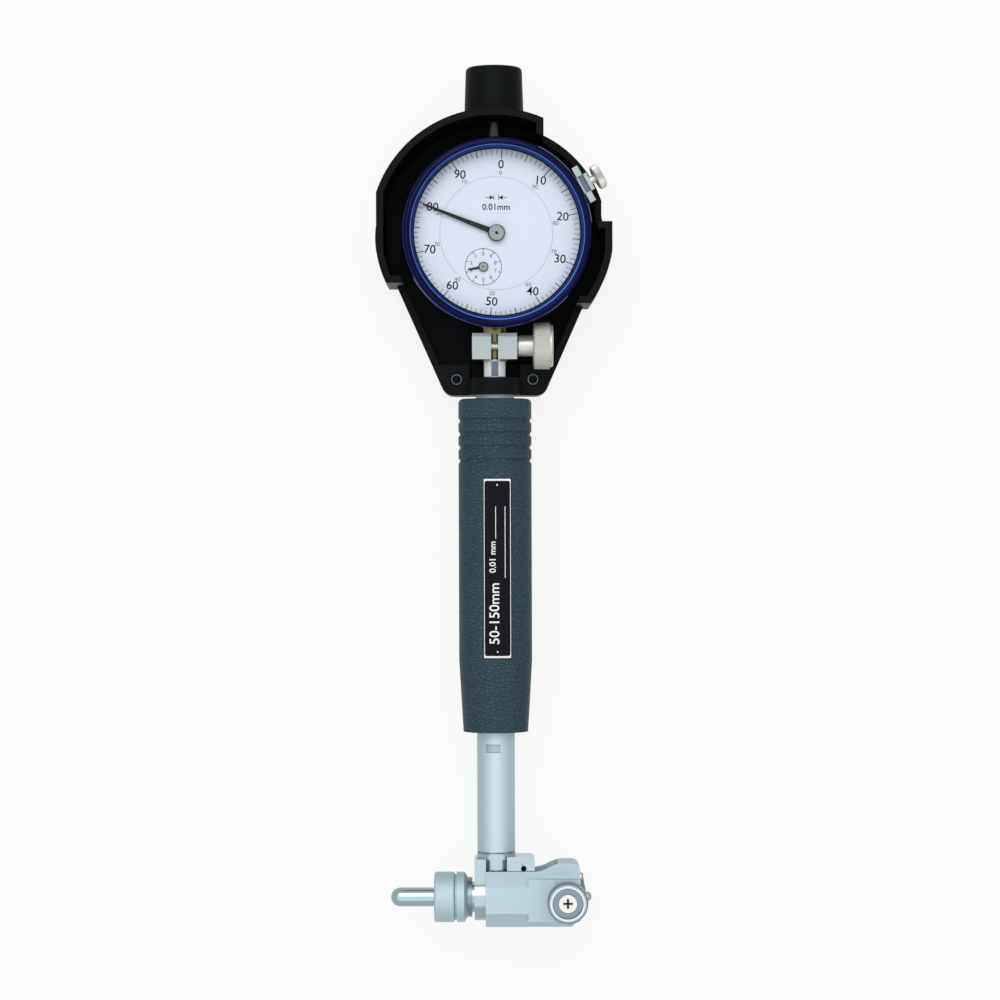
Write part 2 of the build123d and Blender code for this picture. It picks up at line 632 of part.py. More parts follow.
# Bezel, turned on the spigot of the case
bezel_bore_r = SPIGOT_R + RUN_FIT
with BuildPart() as bezel:
    with BuildSketch(DIAL_SECTION):
        with BuildLine():
            Polyline(
                (bezel_bore_r, BEZEL_BACK_H),
                (BEZEL_SKIRT_R, BEZEL_BACK_H),
                (BEZEL_SKIRT_R, BEZEL_BACK_H + BEZEL_SKIRT_HIGH),
                (BEZEL_R, BEZEL_BACK_H + BEZEL_SKIRT_HIGH + BEZEL_SKIRT_SLANT),
                (BEZEL_R, BEZEL_FRONT_H - BEZEL_CROWN_R),
            )
            RadiusArc(
                (BEZEL_R, BEZEL_FRONT_H - BEZEL_CROWN_R),
                (BEZEL_R - BEZEL_CROWN_R, BEZEL_FRONT_H),
                -BEZEL_CROWN_R,
            )
            Polyline(
                (BEZEL_R - BEZEL_CROWN_R, BEZEL_FRONT_H),
                (BEZEL_LIP_R + BEZEL_SLOPE, BEZEL_FRONT_H - BEZEL_CROWN),
                (BEZEL_LIP_R, CRYSTAL_H + CRYSTAL_THICK + BEZEL_LIP_HIGH),
                (BEZEL_LIP_R, CRYSTAL_H + CRYSTAL_THICK),
                (bezel_bore_r, CRYSTAL_H + CRYSTAL_THICK),
                (bezel_bore_r, BEZEL_BACK_H),
            )
        make_face()
    revolve(axis=DIAL_AXIS)
bezel.part.label = "bezel"
export_step(bezel.part, "parts/bezel.step")

# Crystal, seated behind the bezel's lip
with BuildPart() as crystal:
    with BuildSketch(FACE.offset(CRYSTAL_H)):
        Circle(SPIGOT_R)
    extrude(amount=CRYSTAL_THICK)
crystal.part.label = "crystal"
export_step(crystal.part, "parts/crystal.step")

# Outer scale ring, which turns with the bezel
with BuildPart() as scale_ring:
    with BuildSketch(FACE.offset(DIAL_H)):
        Circle(SPIGOT_R)
        Circle(SCALE_JOINT_R, mode=Mode.SUBTRACT)
    extrude(amount=DIAL_THICK)
scale_ring.part.label = "scale_ring"
export_step(scale_ring.part, "parts/scale_ring.step")

# Inner dial, fixed on the pad of the case
with BuildPart() as inner_dial:
    with BuildSketch(FACE.offset(DIAL_H)):
        Circle(SCALE_JOINT_R - DIAL_GAP)
        Circle(ARBOR_R + CLEAR, mode=Mode.SUBTRACT)
        with Locations((COUNTER_X, COUNTER_Y)):
            Circle(COUNTER_ARBOR_R + CLEAR, mode=Mode.SUBTRACT)
    extrude(amount=DIAL_THICK)
inner_dial.part.label = "inner_dial"
export_step(inner_dial.part, "parts/inner_dial.step")

# Main pointer on its arbor
case_cavity_h = CASE_FRONT_H - CASE_WALL
with BuildPart() as pointer:
    with BuildSketch(POINTER_LINE.offset(POINTER_H)):
        with BuildLine():
            Polyline(
                (0, -POINTER_ROOT / 2),
                (POINTER_LONG, -POINTER_TIP / 2),
                (POINTER_LONG, POINTER_TIP / 2),
                (0, POINTER_ROOT / 2),
                close=True,
            )
        make_face()
    extrude(amount=POINTER_THICK)
    with BuildSketch(FACE.offset(POINTER_H - POINTER_THICK)):
        Circle(POINTER_HUB_R)
    extrude(amount=POINTER_HUB_THICK)
    with BuildSketch(FACE.offset(case_cavity_h)):
        Circle(ARBOR_R)
    extrude(amount=POINTER_H - case_cavity_h)
pointer.part.label = "pointer"
export_step(pointer.part, "parts/pointer.step")

# Counter pointer, which counts the turns of the main one
with BuildPart() as counter_pointer:
    with BuildSketch(FACE.offset(COUNTER_H)):
        with Locations((COUNTER_X, COUNTER_Y)):
            Circle(COUNTER_HUB_R)
            with Locations(Location((0, 0), COUNTER_ANGLE)):
                Rectangle(COUNTER_LONG, COUNTER_WIDE, align=(Align.MIN, Align.CENTER))
    extrude(amount=COUNTER_THICK)
    with BuildSketch(FACE.offset(case_cavity_h)):
        with Locations((COUNTER_X, COUNTER_Y)):
            Circle(COUNTER_ARBOR_R)
    extrude(amount=COUNTER_H - case_cavity_h)
counter_pointer.part.label = "counter_pointer"
export_step(counter_pointer.part, "parts/counter_pointer.step")

# Stem of the indicator, held by the clamp
with BuildPart() as stem:
    with BuildSketch(STEM_SECTION):
        stem_bore_r = SPINDLE_R + RUN_FIT
        flange_y = -CASE_R - SEAT_FIT
        with BuildLine():
            Polyline(
                (stem_bore_r, STEM_TOP_Y),
                (STEM_R, STEM_TOP_Y),
                (STEM_R, flange_y),
                (STEM_FLANGE_R, flange_y),
                (STEM_FLANGE_R, flange_y - STEM_FLANGE_THICK),
                (STEM_R, flange_y - STEM_FLANGE_THICK),
                (STEM_R, STEM_END_Y),
                (stem_bore_r, STEM_END_Y),
                close=True,
            )
        make_face()
    revolve(axis=STEM_AXIS)
stem.part.label = "stem"
export_step(stem.part, "parts/stem.step")

# Spindle of the indicator, pushed up by the rod
with BuildPart() as spindle:
    with BuildSketch(STEM_CROSS.offset(-SPINDLE_TOP_Y)):
        Circle(SPINDLE_R)
    extrude(amount=SPINDLE_TOP_Y - SPINDLE_END_Y)
    chamfer(spindle.edges().filter_by(GeomType.CIRCLE), length=SPINDLE_R / 5)
spindle.part.label = "spindle"
export_step(spindle.part, "parts/spindle.step")

# Cap over the upper end of the spindle
with BuildPart() as spindle_cap:
    with BuildSketch(STEM_CROSS.offset(-SPINDLE_CAP_TOP_Y)):
        Circle(SPINDLE_CAP_R)
    extrude(amount=SPINDLE_CAP_TOP_Y - SPINDLE_CAP_FOOT_Y)
    fillet(spindle_cap.edges().sort_by(Axis.Y)[-1], radius=SPINDLE_CAP_R / 5)
    with BuildSketch(STEM_CROSS.offset(-SPINDLE_CAP_BORE_TOP_Y)):
        Circle(SPINDLE_R + RUN_FIT)
    extrude(amount=SPINDLE_CAP_TOP_Y, mode=Mode.SUBTRACT)
spindle_cap.part.label = "spindle_cap"
export_step(spindle_cap.part, "parts/spindle_cap.step")

# Bezel clamp: a bracket on the side of the case, with two claws beside the bezel
foot_r = CASE_R + SEAT_FIT
foot_top_h = BEZEL_BACK_H - CLEAR
with BuildPart() as bezel_clamp:
    with BuildSketch(BEZEL_CLAMP.offset(BRACKET_FOOT_H)):
        with Locations((foot_r, 0)):
            Rectangle(BRACKET_OUT_R - foot_r, BRACKET_WIDE, align=(Align.MIN, Align.CENTER))
    extrude(amount=foot_top_h - BRACKET_FOOT_H)
    with BuildSketch(BEZEL_CLAMP.offset(BRACKET_FOOT_H)):
        with Locations((BRACKET_IN_R, 0)):
            Rectangle(BRACKET_OUT_R - BRACKET_IN_R, BRACKET_WIDE, align=(Align.MIN, Align.CENTER))
    extrude(amount=BRACKET_TOP_H - BRACKET_FOOT_H)
    with BuildSketch(BEZEL_CLAMP.offset(foot_top_h)):
        with Locations((BRACKET_IN_R, 0)):
            Rectangle(
                CLAW_OUT_R - BRACKET_IN_R,
                BRACKET_WIDE + 2 * CLAW_LONG,
                align=(Align.MIN, Align.CENTER),
            )
    extrude(amount=CLAW_TOP_H - foot_top_h)
    with BuildSketch(BEZEL_CLAMP.offset(BRACKET_TOP_H - BRACKET_TROUGH)):
        with Locations((CASE_R, 0)):
            Rectangle(CLAW_OUT_R + CLEAR - CASE_R, BRACKET_WIDE, align=(Align.MIN, Align.CENTER))
    extrude(amount=CLAW_TOP_H, mode=Mode.SUBTRACT)
    screw_plane = Plane(
        BEZEL_CLAMP.from_local_coords((BRACKET_IN_R, 0, BEZEL_SCREW_H)), z_dir=BEZEL_CLAMP.x_dir
    )
    with BuildSketch(screw_plane):
        Circle(BEZEL_SCREW_R + RUN_FIT)
    extrude(amount=BRACKET_OUT_R, mode=Mode.SUBTRACT)
bezel_clamp.part.label = "bezel_clamp"
export_step(bezel_clamp.part, "parts/bezel_clamp.step")

# Thumb screw of the bezel clamp
with BuildPart() as bezel_screw:
    with BuildSketch(screw_plane.offset(CLEAR)):
        Circle(BEZEL_SCREW_R)
    extrude(amount=BEZEL_KNOB_START_R - BRACKET_IN_R - CLEAR)
    with BuildSketch(screw_plane.offset(BEZEL_KNOB_START_R - BRACKET_IN_R)):
        Circle(BEZEL_KNOB_R)
    extrude(amount=BEZEL_KNOB_THICK)
    knob_rims = bezel_screw.edges().filter_by(lambda e: e.length > 6 * BEZEL_KNOB_R)
    chamfer(knob_rims, length=BEZEL_KNOB_THICK / 6)
bezel_screw.part.label = "bezel_screw"
export_step(bezel_screw.part, "parts/bezel_screw.step")

# Stem clamp: a split block on a sleeve that stands in the tube
with BuildPart() as stem_clamp:
    with BuildSketch(Plane.YZ.offset(-CLAMP_HALF_X)):
        front_z = AXIS_Z + CLAMP_FRONT_H
        back_z = AXIS_Z + CLAMP_BACK_H
        with BuildLine():
            Polyline(
                (CLAMP_TOP_Y, back_z),
                (CLAMP_TOP_Y, front_z - CLAMP_TOP_BEVEL),
                (CLAMP_TOP_Y - CLAMP_TOP_BEVEL, front_z),
                (CLAMP_END_Y + CLAMP_END_BEVEL, front_z),
                (CLAMP_END_Y, front_z - CLAMP_END_BEVEL),
                (CLAMP_END_Y, back_z),
                close=True,
            )
        make_face()
    extrude(amount=2 * CLAMP_HALF_X)
    with BuildSketch(STEM_CROSS.offset(-CLAMP_END_Y)):
        Circle(SLEEVE_R)
    extrude(amount=CLAMP_END_Y - SLEEVE_END_Y)
    with BuildSketch(STEM_CROSS.offset(-CLAMP_END_Y)):
        Circle(SLEEVE_FLANGE_R)
    extrude(amount=SLEEVE_FLANGE_THICK)
    with BuildSketch(STEM_CROSS.offset(-CLAMP_TOP_Y)):
        Circle(STEM_R + SEAT_FIT)
    extrude(amount=CLAMP_TOP_Y - STEM_END_Y, mode=Mode.SUBTRACT)
    with BuildSketch(STEM_CROSS.offset(-CLAMP_TOP_Y)):
        Circle(SPINDLE_R + RUN_FIT)
    extrude(amount=CLAMP_TOP_Y - SLEEVE_END_Y, mode=Mode.SUBTRACT)
    with BuildSketch(Plane.XY.offset(AXIS_Z)):
        with Locations((0, CLAMP_END_Y)):
            Rectangle(CLAMP_SLIT, CLAMP_TOP_Y - CLAMP_END_Y, align=(Align.CENTER, Align.MIN))
    extrude(amount=CLAMP_FRONT_H, mode=Mode.SUBTRACT)
    with BuildSketch(Plane.YZ.offset(-CLAMP_HALF_X)):
        with Locations((CLAMP_SCREW_Y, AXIS_Z + CLAMP_SCREW_H)):
            Circle(CLAMP_SCREW_R + RUN_FIT)
    extrude(amount=2 * CLAMP_HALF_X, mode=Mode.SUBTRACT)
stem_clamp.part.label = "stem_clamp"
export_step(stem_clamp.part, "parts/stem_clamp.step")

# Knurled screw of the stem clamp
clamp_screw_section = Plane(origin=(0, CLAMP_SCREW_Y, AXIS_Z + CLAMP_SCREW_H))
collar_x = CLAMP_HALF_X + RUN_FIT
knob_x = collar_x + CLAMP_COLLAR_LONG
knob_end_x = knob_x + KNOB_LONG + KNOB_STEP_LONG
knob_edge = KNOB_STEP_LONG / 2
with BuildPart() as clamp_knob:
    with BuildSketch(clamp_screw_section):
        with BuildLine():
            Polyline(
                (-CLAMP_HALF_X, 0),
                (-CLAMP_HALF_X, CLAMP_SCREW_R),
                (collar_x, CLAMP_SCREW_R),
                (collar_x, CLAMP_COLLAR_R - knob_edge),
                (collar_x + knob_edge, CLAMP_COLLAR_R),
                (knob_x, CLAMP_COLLAR_R),
                (knob_x, KNOB_R - knob_edge),
                (knob_x + knob_edge, KNOB_R),
                (knob_x + KNOB_LONG, KNOB_R),
                (knob_x + KNOB_LONG, KNOB_STEP_R),
                (knob_end_x - knob_edge, KNOB_STEP_R),
                (knob_end_x, KNOB_STEP_R - knob_edge),
                (knob_end_x, 0),
                close=True,
            )
        make_face()
    revolve(axis=Axis(clamp_screw_section.origin, (1, 0, 0)))
clamp_knob.part.label = "clamp_knob"
export_step(clamp_knob.part, "parts/clamp_knob.step")

# Tube from the guard to the head
with BuildPart() as tube:
    with BuildSketch(STEM_CROSS.offset(-TUBE_TOP_Y)):
        Circle(TUBE_R)
        Circle(TUBE_BORE_R, mode=Mode.SUBTRACT)
    extrude(amount=TUBE_TOP_Y - TUBE_END_Y)
    with BuildSketch(STEM_CROSS.offset(-TUBE_TOP_Y)):
        Circle(SLEEVE_R + SEAT_FIT)
    extrude(amount=TUBE_TOP_Y - SLEEVE_END_Y, mode=Mode.SUBTRACT)
tube.part.label = "tube"
export_step(tube.part, "parts/tube.step")

# Grip over the tube, with grooves at its upper end and a flat seat for the label plate
with BuildPart() as grip:
    with BuildSketch(STEM_SECTION) as grip_half:
        with BuildLine():
            Polyline(
                (TUBE_R + SEAT_FIT, GRIP_TOP_Y),
                (GRIP_R, GRIP_TOP_Y),
                (GRIP_R, GRIP_TAPER_Y),
                (GRIP_END_R, GRIP_END_Y),
                (TUBE_R + SEAT_FIT, GRIP_END_Y),
                close=True,
            )
        make_face()
        outer = grip_half.vertices().filter_by(lambda v: v.X > GRIP_END_R - SEAT_FIT)
        fillet(outer.sort_by(Axis.Y)[-1], radius=GRIP_TOP_FILLET)
        fillet(outer.sort_by(Axis.Y)[0], radius=GRIP_END_FILLET)
        for i in range(GROOVE_COUNT):
            with Locations((GRIP_R + GROOVE_ARC_R - GROOVE_DEPTH, GROOVE_FIRST_Y - i * GROOVE_PITCH)):
                Circle(GROOVE_ARC_R, mode=Mode.SUBTRACT)
    revolve(axis=STEM_AXIS)
    label_plane = Plane(origin=(0, LABEL_TOP_Y - LABEL_LONG / 2, AXIS_Z)).rotated((0, LABEL_TURN, 0))
    with BuildSketch(label_plane.offset(LABEL_FLOOR_H)):
        Rectangle(LABEL_WIDE + 2 * LABEL_GAP, LABEL_LONG + 2 * LABEL_GAP)
    extrude(amount=GRIP_R, mode=Mode.SUBTRACT)
grip.part.label = "grip"
export_step(grip.part, "parts/grip.step")

# Label plate, set in the grip
with BuildPart() as label_plate:
    with BuildSketch(label_plane.offset(LABEL_FLOOR_H)):
        Rectangle(LABEL_WIDE, LABEL_LONG)
    extrude(amount=LABEL_THICK)
    chamfer(label_plate.edges().group_by(SortBy.LENGTH)[0], length=LABEL_THICK / 2)
label_plate.part.label = "label_plate"
export_step(label_plate.part, "parts/label_plate.step")

# Push rod down the tube, from the spindle to the bell crank
rod_end_y = CRANK_Y + CRANK_PAD_R + RUN_FIT
rod_top_y = SPINDLE_END_Y - 2 * RUN_FIT
with BuildPart() as push_rod:
    with BuildSketch(STEM_CROSS.offset(-rod_top_y)):
        Circle(ROD_R)
    extrude(amount=rod_top_y - rod_end_y)
    with BuildSketch(STEM_CROSS.offset(-rod_top_y)):
        Circle(SPINDLE_R)
    extrude(amount=2 * ROD_R)
push_rod.part.label = "push_rod"
export_step(push_rod.part, "parts/push_rod.step")

# Head body: a neck on the tube, a barrel along the measuring axis and two flanges
collar_top_y = TUBE_END_Y - COLLAR_GROOVE
collar_end_y = collar_top_y - COLLAR_LONG
cavity_left_x = -CRANK_PAD_R - CAVITY_HALF_Z / 2
with BuildPart() as head_body:
    with BuildSketch(STEM_SECTION):
        with BuildLine():
            Polyline(
                (0, TUBE_END_Y + HEAD_SPIGOT_LONG),
                (HEAD_SPIGOT_R, TUBE_END_Y + HEAD_SPIGOT_LONG),
                (HEAD_SPIGOT_R, TUBE_END_Y),
                (COLLAR_GROOVE_R, TUBE_END_Y),
                (COLLAR_GROOVE_R, collar_top_y),
                (COLLAR_R, collar_top_y),
                (COLLAR_R, collar_end_y),
                (NECK_R, collar_end_y),
                (NECK_R, MEASURE_Y),
                (0, MEASURE_Y),
                close=True,
            )
        make_face()
    revolve(axis=STEM_AXIS)
    with BuildSketch(HEAD_SECTION):
        with BuildLine():
            Polyline(
                (BARREL_END_X, 0),
                (BARREL_END_X, BARREL_R),
                (BARREL_START_X, BARREL_R),
                (BARREL_START_X, SPACER_SPIGOT_R),
                (SPACER_SPIGOT_X, SPACER_SPIGOT_R),
                (SPACER_SPIGOT_X, 0),
                close=True,
            )
        make_face()
    revolve(axis=HEAD_AXIS)
    with BuildSketch(STEM_SECTION) as flanges:
        with Locations((BARREL_START_X, FLANGE_FOOT_Y)):
            Rectangle(
                LEFT_FLANGE_X - BARREL_START_X,
                LEFT_FLANGE_TOP_Y - FLANGE_FOOT_Y,
                align=(Align.MIN, Align.MIN),
            )
        with Locations((RIGHT_FLANGE_START_X, FLANGE_FOOT_Y)):
            Rectangle(
                RIGHT_FLANGE_END_X - RIGHT_FLANGE_START_X,
                RIGHT_FLANGE_TOP_Y - FLANGE_FOOT_Y,
                align=(Align.MIN, Align.MIN),
            )
        fillet(flanges.vertices().group_by(Axis.Y)[-1].sort_by(Axis.X)[-1], radius=FLANGE_CORNER_R)
    extrude(amount=FLANGE_HALF_Z, both=True)
    # The slit in front of the right flange, and the hole for its screw
    with BuildSketch(STEM_SECTION.offset(FLANGE_HALF_Z)):
        slit_low_y = FLANGE_SCREW_Y + FLANGE_SCREW_R
        slit_high_y = RIGHT_FLANGE_TOP_Y - FLANGE_CORNER_R
        with Locations((FLANGE_SLIT_X, slit_low_y)):
            Rectangle(FLANGE_SLIT, slit_high_y - slit_low_y, align=(Align.CENTER, Align.MIN))
        with Locations((FLANGE_SCREW_X, FLANGE_SCREW_Y)):
            Circle(FLANGE_SCREW_R + SEAT_FIT)
    extrude(amount=-FLANGE_SCREW_LONG, mode=Mode.SUBTRACT)
    # The bore of the plunger, the hole of its tail and the pocket of the guide spring
    with BuildSketch(HEAD_CROSS.offset(PLUNGER_BORE_X)):
        Circle(PLUNGER_R + RUN_FIT)
    extrude(amount=BARREL_END_X - PLUNGER_BORE_X, mode=Mode.SUBTRACT)
    with BuildSketch(HEAD_CROSS.offset(CRANK_X)):
        Circle(PLUNGER_TAIL_R + RUN_FIT)
    extrude(amount=PLUNGER_BORE_X - CRANK_X, mode=Mode.SUBTRACT)
    with BuildSketch(HEAD_CROSS.offset(GUIDE_SPRING_START_X)):
        Circle(GUIDE_POCKET_OUT_R)
        Circle(GUIDE_POCKET_IN_R, mode=Mode.SUBTRACT)
    extrude(amount=BARREL_END_X - GUIDE_SPRING_START_X, mode=Mode.SUBTRACT)
    # The seat of the anvil
    with BuildSketch(HEAD_CROSS.offset(SPACER_SPIGOT_X)):
        Circle(ANVIL_R + SEAT_FIT)
    extrude(amount=ANVIL_ROOT_X - SPACER_SPIGOT_X, mode=Mode.SUBTRACT)
    # The slot and pin hole of the bell crank, and the bore of the push rod
    with BuildSketch(HEAD_SECTION):
        with Locations((cavity_left_x, -CAVITY_LOW)):
            Rectangle(
                CAVITY_SIDE_X - cavity_left_x,
                CAVITY_LOW + CAVITY_HIGH,
                align=(Align.MIN, Align.MIN),
            )
    extrude(amount=CAVITY_HALF_Z, both=True, mode=Mode.SUBTRACT)
    with BuildSketch(HEAD_SECTION):
        with Locations((CRANK_X, CRANK_ARM)):
            Circle(CRANK_PIN_R + SEAT_FIT)
    extrude(amount=BARREL_R, both=True, mode=Mode.SUBTRACT)
    with BuildSketch(STEM_CROSS.offset(-TUBE_END_Y - HEAD_SPIGOT_LONG)):
        Circle(ROD_R + RUN_FIT)
    extrude(amount=TUBE_END_Y + HEAD_SPIGOT_LONG - CRANK_Y, mode=Mode.SUBTRACT)
head_body.part.label = "head_body"
export_step(head_body.part, "parts/head_body.step")

# Small screw in the right flange
with BuildPart() as flange_screw:
    with BuildSketch(STEM_SECTION.offset(FLANGE_HALF_Z)):
        with Locations((FLANGE_SCREW_X, FLANGE_SCREW_Y)):
            Circle(FLANGE_SCREW_R)
    extrude(amount=-FLANGE_SCREW_LONG)
    with BuildSketch(STEM_SECTION.offset(FLANGE_HALF_Z)):
        with Locations((FLANGE_SCREW_X, FLANGE_SCREW_Y)):
            RegularPolygon(FLANGE_SCREW_R / 2, HEX_SIDES)
    extrude(amount=-FLANGE_SCREW_R, mode=Mode.SUBTRACT)
flange_screw.part.label = "flange_screw"
export_step(flange_screw.part, "parts/flange_screw.step")

# Bell crank: turns the plunger's push into the rod's lift
with BuildPart() as bell_crank:
    with BuildSketch(HEAD_SECTION.offset(-CRANK_THICK / 2)):
        with Locations((CRANK_X - CRANK_ARM / 2, CRANK_ARM)):
            Rectangle(CRANK_ARM, 2 * CRANK_ARM_HALF)
        with Locations((CRANK_X, CRANK_ARM / 2)):
            Rectangle(2 * CRANK_ARM_HALF, CRANK_ARM)
        with Locations((CRANK_X - CRANK_ARM, CRANK_ARM), (CRANK_X, 0)):
            Circle(CRANK_PAD_R)
        with Locations((CRANK_X, CRANK_ARM)):
            Circle(CRANK_HUB_R)
            Circle(CRANK_PIN_R + RUN_FIT, mode=Mode.SUBTRACT)
    extrude(amount=CRANK_THICK)
bell_crank.part.label = "bell_crank"
export_step(bell_crank.part, "parts/bell_crank.step")

# Pin of the bell crank
with BuildPart() as crank_pin:
    with BuildSketch(HEAD_SECTION):
        with Locations((CRANK_X, CRANK_ARM)):
            Circle(CRANK_PIN_R)
    extrude(amount=CRANK_PIN_LONG / 2, both=True)
crank_pin.part.label = "crank_pin"
export_step(crank_pin.part, "parts/crank_pin.step")

# Contact plunger with its round tip, and a thin nose that meets the bell crank
tip_cos = cos(radians(45))
nose_x = CRANK_X + CRANK_PAD_R + RUN_FIT
with BuildPart() as contact_plunger:
    with BuildSketch(HEAD_SECTION):
        tip_start_x = CONTACT_TIP_X - CONTACT_R
        with BuildLine():
            Polyline(
                (CONTACT_TIP_X, 0),
                (nose_x, 0),
                (nose_x, PLUNGER_NOSE_R),
                (PLUNGER_TAIL_X, PLUNGER_NOSE_R),
                (PLUNGER_TAIL_X, PLUNGER_TAIL_R),
                (PLUNGER_START_X, PLUNGER_TAIL_R),
                (PLUNGER_START_X, PLUNGER_R),
                (PLUNGER_END_X, PLUNGER_R),
                (PLUNGER_END_X, CONTACT_R),
                (tip_start_x, CONTACT_R),
            )
            ThreePointArc(
                (tip_start_x, CONTACT_R),
                (tip_start_x + CONTACT_R * tip_cos, CONTACT_R * tip_cos),
                (CONTACT_TIP_X, 0),
            )
        make_face()
    revolve(axis=HEAD_AXIS)
contact_plunger.part.label = "contact_plunger"
export_step(contact_plunger.part, "parts/contact_plunger.step")

# Bush that keeps the plunger in the barrel
with BuildPart() as contact_bush:
    with BuildSketch(HEAD_CROSS.offset(PLUNGER_END_X + 2 * RUN_FIT)):
        Circle(PLUNGER_R + RUN_FIT - SEAT_FIT)
        Circle(CONTACT_R + RUN_FIT, mode=Mode.SUBTRACT)
    extrude(amount=BARREL_END_X - PLUNGER_END_X - 2 * RUN_FIT)
contact_bush.part.label = "contact_bush"
export_step(contact_bush.part, "parts/contact_bush.step")


def coil_spring(start_x, end_x, middle_r, wire, turns):
    """A coil of square wire along the measuring axis, between two seats."""
    first_x = start_x + wire / 2 + RUN_FIT
    last_x = end_x - wire / 2 - RUN_FIT
    with BuildPart() as spring:
        with BuildLine():
            coil = Helix(
                pitch=(last_x - first_x) / turns,
                height=last_x - first_x,
                radius=middle_r,
                center=(first_x, MEASURE_Y, AXIS_Z),
                direction=(1, 0, 0),
            )
        with BuildSketch(Plane(origin=coil @ 0, z_dir=coil % 0)):
            RegularPolygon(wire / 2, SPRING_SIDES)
        sweep(is_frenet=True)
    return spring


# Spring behind the plunger's shoulder
contact_spring = coil_spring(
    PLUNGER_BORE_X,
    PLUNGER_START_X,
    (PLUNGER_TAIL_R + PLUNGER_R) / 2,
    CONTACT_SPRING_WIRE,
    CONTACT_SPRING_TURNS,
)
contact_spring.part.label = "contact_spring"
export_step(contact_spring.part, "parts/contact_spring.step")

# Spring that pushes the guide block out
guide_spring = coil_spring(
    GUIDE_SPRING_START_X,
    GUIDE_BORE_END_X,
    GUIDE_SPRING_R,
    GUIDE_SPRING_WIRE,
    GUIDE_SPRING_TURNS,
)
guide_spring.part.label = "guide_spring"
export_step(guide_spring.part, "parts/guide_spring.step")

# Guide block: slides on the barrel, carries the rollers and centres the gauge in a bore
guide_long = GUIDE_END_X - GUIDE_START_X
with BuildPart() as guide_block:
    with BuildSketch(HEAD_CROSS.offset(GUIDE_START_X)):
        with BuildLine():
            Polyline(
                (GUIDE_HALF_Y, GUIDE_TOP_Z),
                (GUIDE_FACE_Y, GUIDE_HALF_Z),
                (-GUIDE_FACE_Y, GUIDE_HALF_Z),
                (-GUIDE_HALF_Y, GUIDE_TOP_Z),
                (-GUIDE_HALF_Y, -GUIDE_TOP_Z),
                (-GUIDE_FACE_Y, -GUIDE_HALF_Z),
                (GUIDE_FACE_Y, -GUIDE_HALF_Z),
                (GUIDE_HALF_Y, -GUIDE_TOP_Z),
                close=True,
            )
        make_face()
    extrude(amount=guide_long)
    # The raised arms below the rollers
    with BuildSketch(Plane(origin=(0, MEASURE_Y, AXIS_Z), x_dir=(1, 0, 0), z_dir=(0, -1, 0))):
        with BuildLine():
            Spline(
                (ARM_BLEND_X, GUIDE_HALF_Z),
                (ARM_FULL_X, ARM_H),
                tangents=((1, 0), (ARM_FULL_X - ARM_BLEND_X, ARM_H - GUIDE_HALF_Z)),
            )
            Polyline(
                (ARM_FULL_X, ARM_H),
                (GUIDE_END_X, ARM_H),
                (GUIDE_END_X, 0),
                (ARM_BLEND_X, 0),
                (ARM_BLEND_X, GUIDE_HALF_Z),
            )
        make_face()
        mirror(about=Plane.XZ)
    extrude(amount=ARM_HALF_Y, both=True)
    # The crest, rounded at its end
    with BuildSketch(HEAD_SECTION) as crest:
        with BuildLine():
            Spline(
                (CREST_START_X, GUIDE_HALF_Y),
                (CREST_FULL_X, CREST_Y),
                tangents=((1, 0), (1, 0)),
            )
            Polyline(
                (CREST_FULL_X, CREST_Y),
                (GUIDE_END_X, CREST_Y),
                (GUIDE_END_X, CREST_FOOT_Y),
                (CREST_START_X, CREST_FOOT_Y),
                (CREST_START_X, GUIDE_HALF_Y),
            )
        make_face()
        fillet(crest.vertices().sort_by(Axis.X)[-2:].sort_by(Axis.Y)[-1], radius=CREST_CORNER_R)
    extrude(amount=CREST_HALF_Z, both=True)
    # The bevel at the lower end
    with BuildSketch(HEAD_SECTION):
        with BuildLine():
            Polyline(
                (GUIDE_END_X, -GUIDE_HALF_Y),
                (GUIDE_END_X - GUIDE_CORNER, -GUIDE_HALF_Y),
                (GUIDE_END_X, -GUIDE_HALF_Y + GUIDE_CORNER),
                close=True,
            )
        make_face()
    extrude(amount=ARM_H, both=True, mode=Mode.SUBTRACT)
    # The bore, the hole of the contact tip and the slot past the neck
    with BuildSketch(HEAD_CROSS.offset(GUIDE_START_X)):
        Circle(BARREL_R + RUN_FIT)
    extrude(amount=GUIDE_BORE_END_X - GUIDE_START_X, mode=Mode.SUBTRACT)
    with BuildSketch(HEAD_CROSS.offset(GUIDE_BORE_END_X)):
        Circle(GUIDE_TIP_HOLE_R)
    extrude(amount=GUIDE_END_X - GUIDE_BORE_END_X, mode=Mode.SUBTRACT)
    with BuildSketch(HEAD_SECTION):
        with Locations((GUIDE_START_X, 0)):
            Rectangle(
                GUIDE_SLOT_END_X - GUIDE_START_X,
                CREST_Y,
                align=(Align.MIN, Align.MIN),
            )
    extrude(amount=GUIDE_SLOT_HALF_Z, both=True, mode=Mode.SUBTRACT)
    # The threads of the roller screws
    for side in (1, -1):
        with BuildSketch(HEAD_SECTION.offset(side * (ARM_H - ROLLER_SCREW_LONG))):
            with Locations((ROLLER_X, 0)):
                Circle(ROLLER_SCREW_R + SEAT_FIT)
        extrude(amount=side * ROLLER_SCREW_LONG, mode=Mode.SUBTRACT)
guide_block.part.label = "guide_block"
export_step(guide_block.part, "parts/guide_block.step")

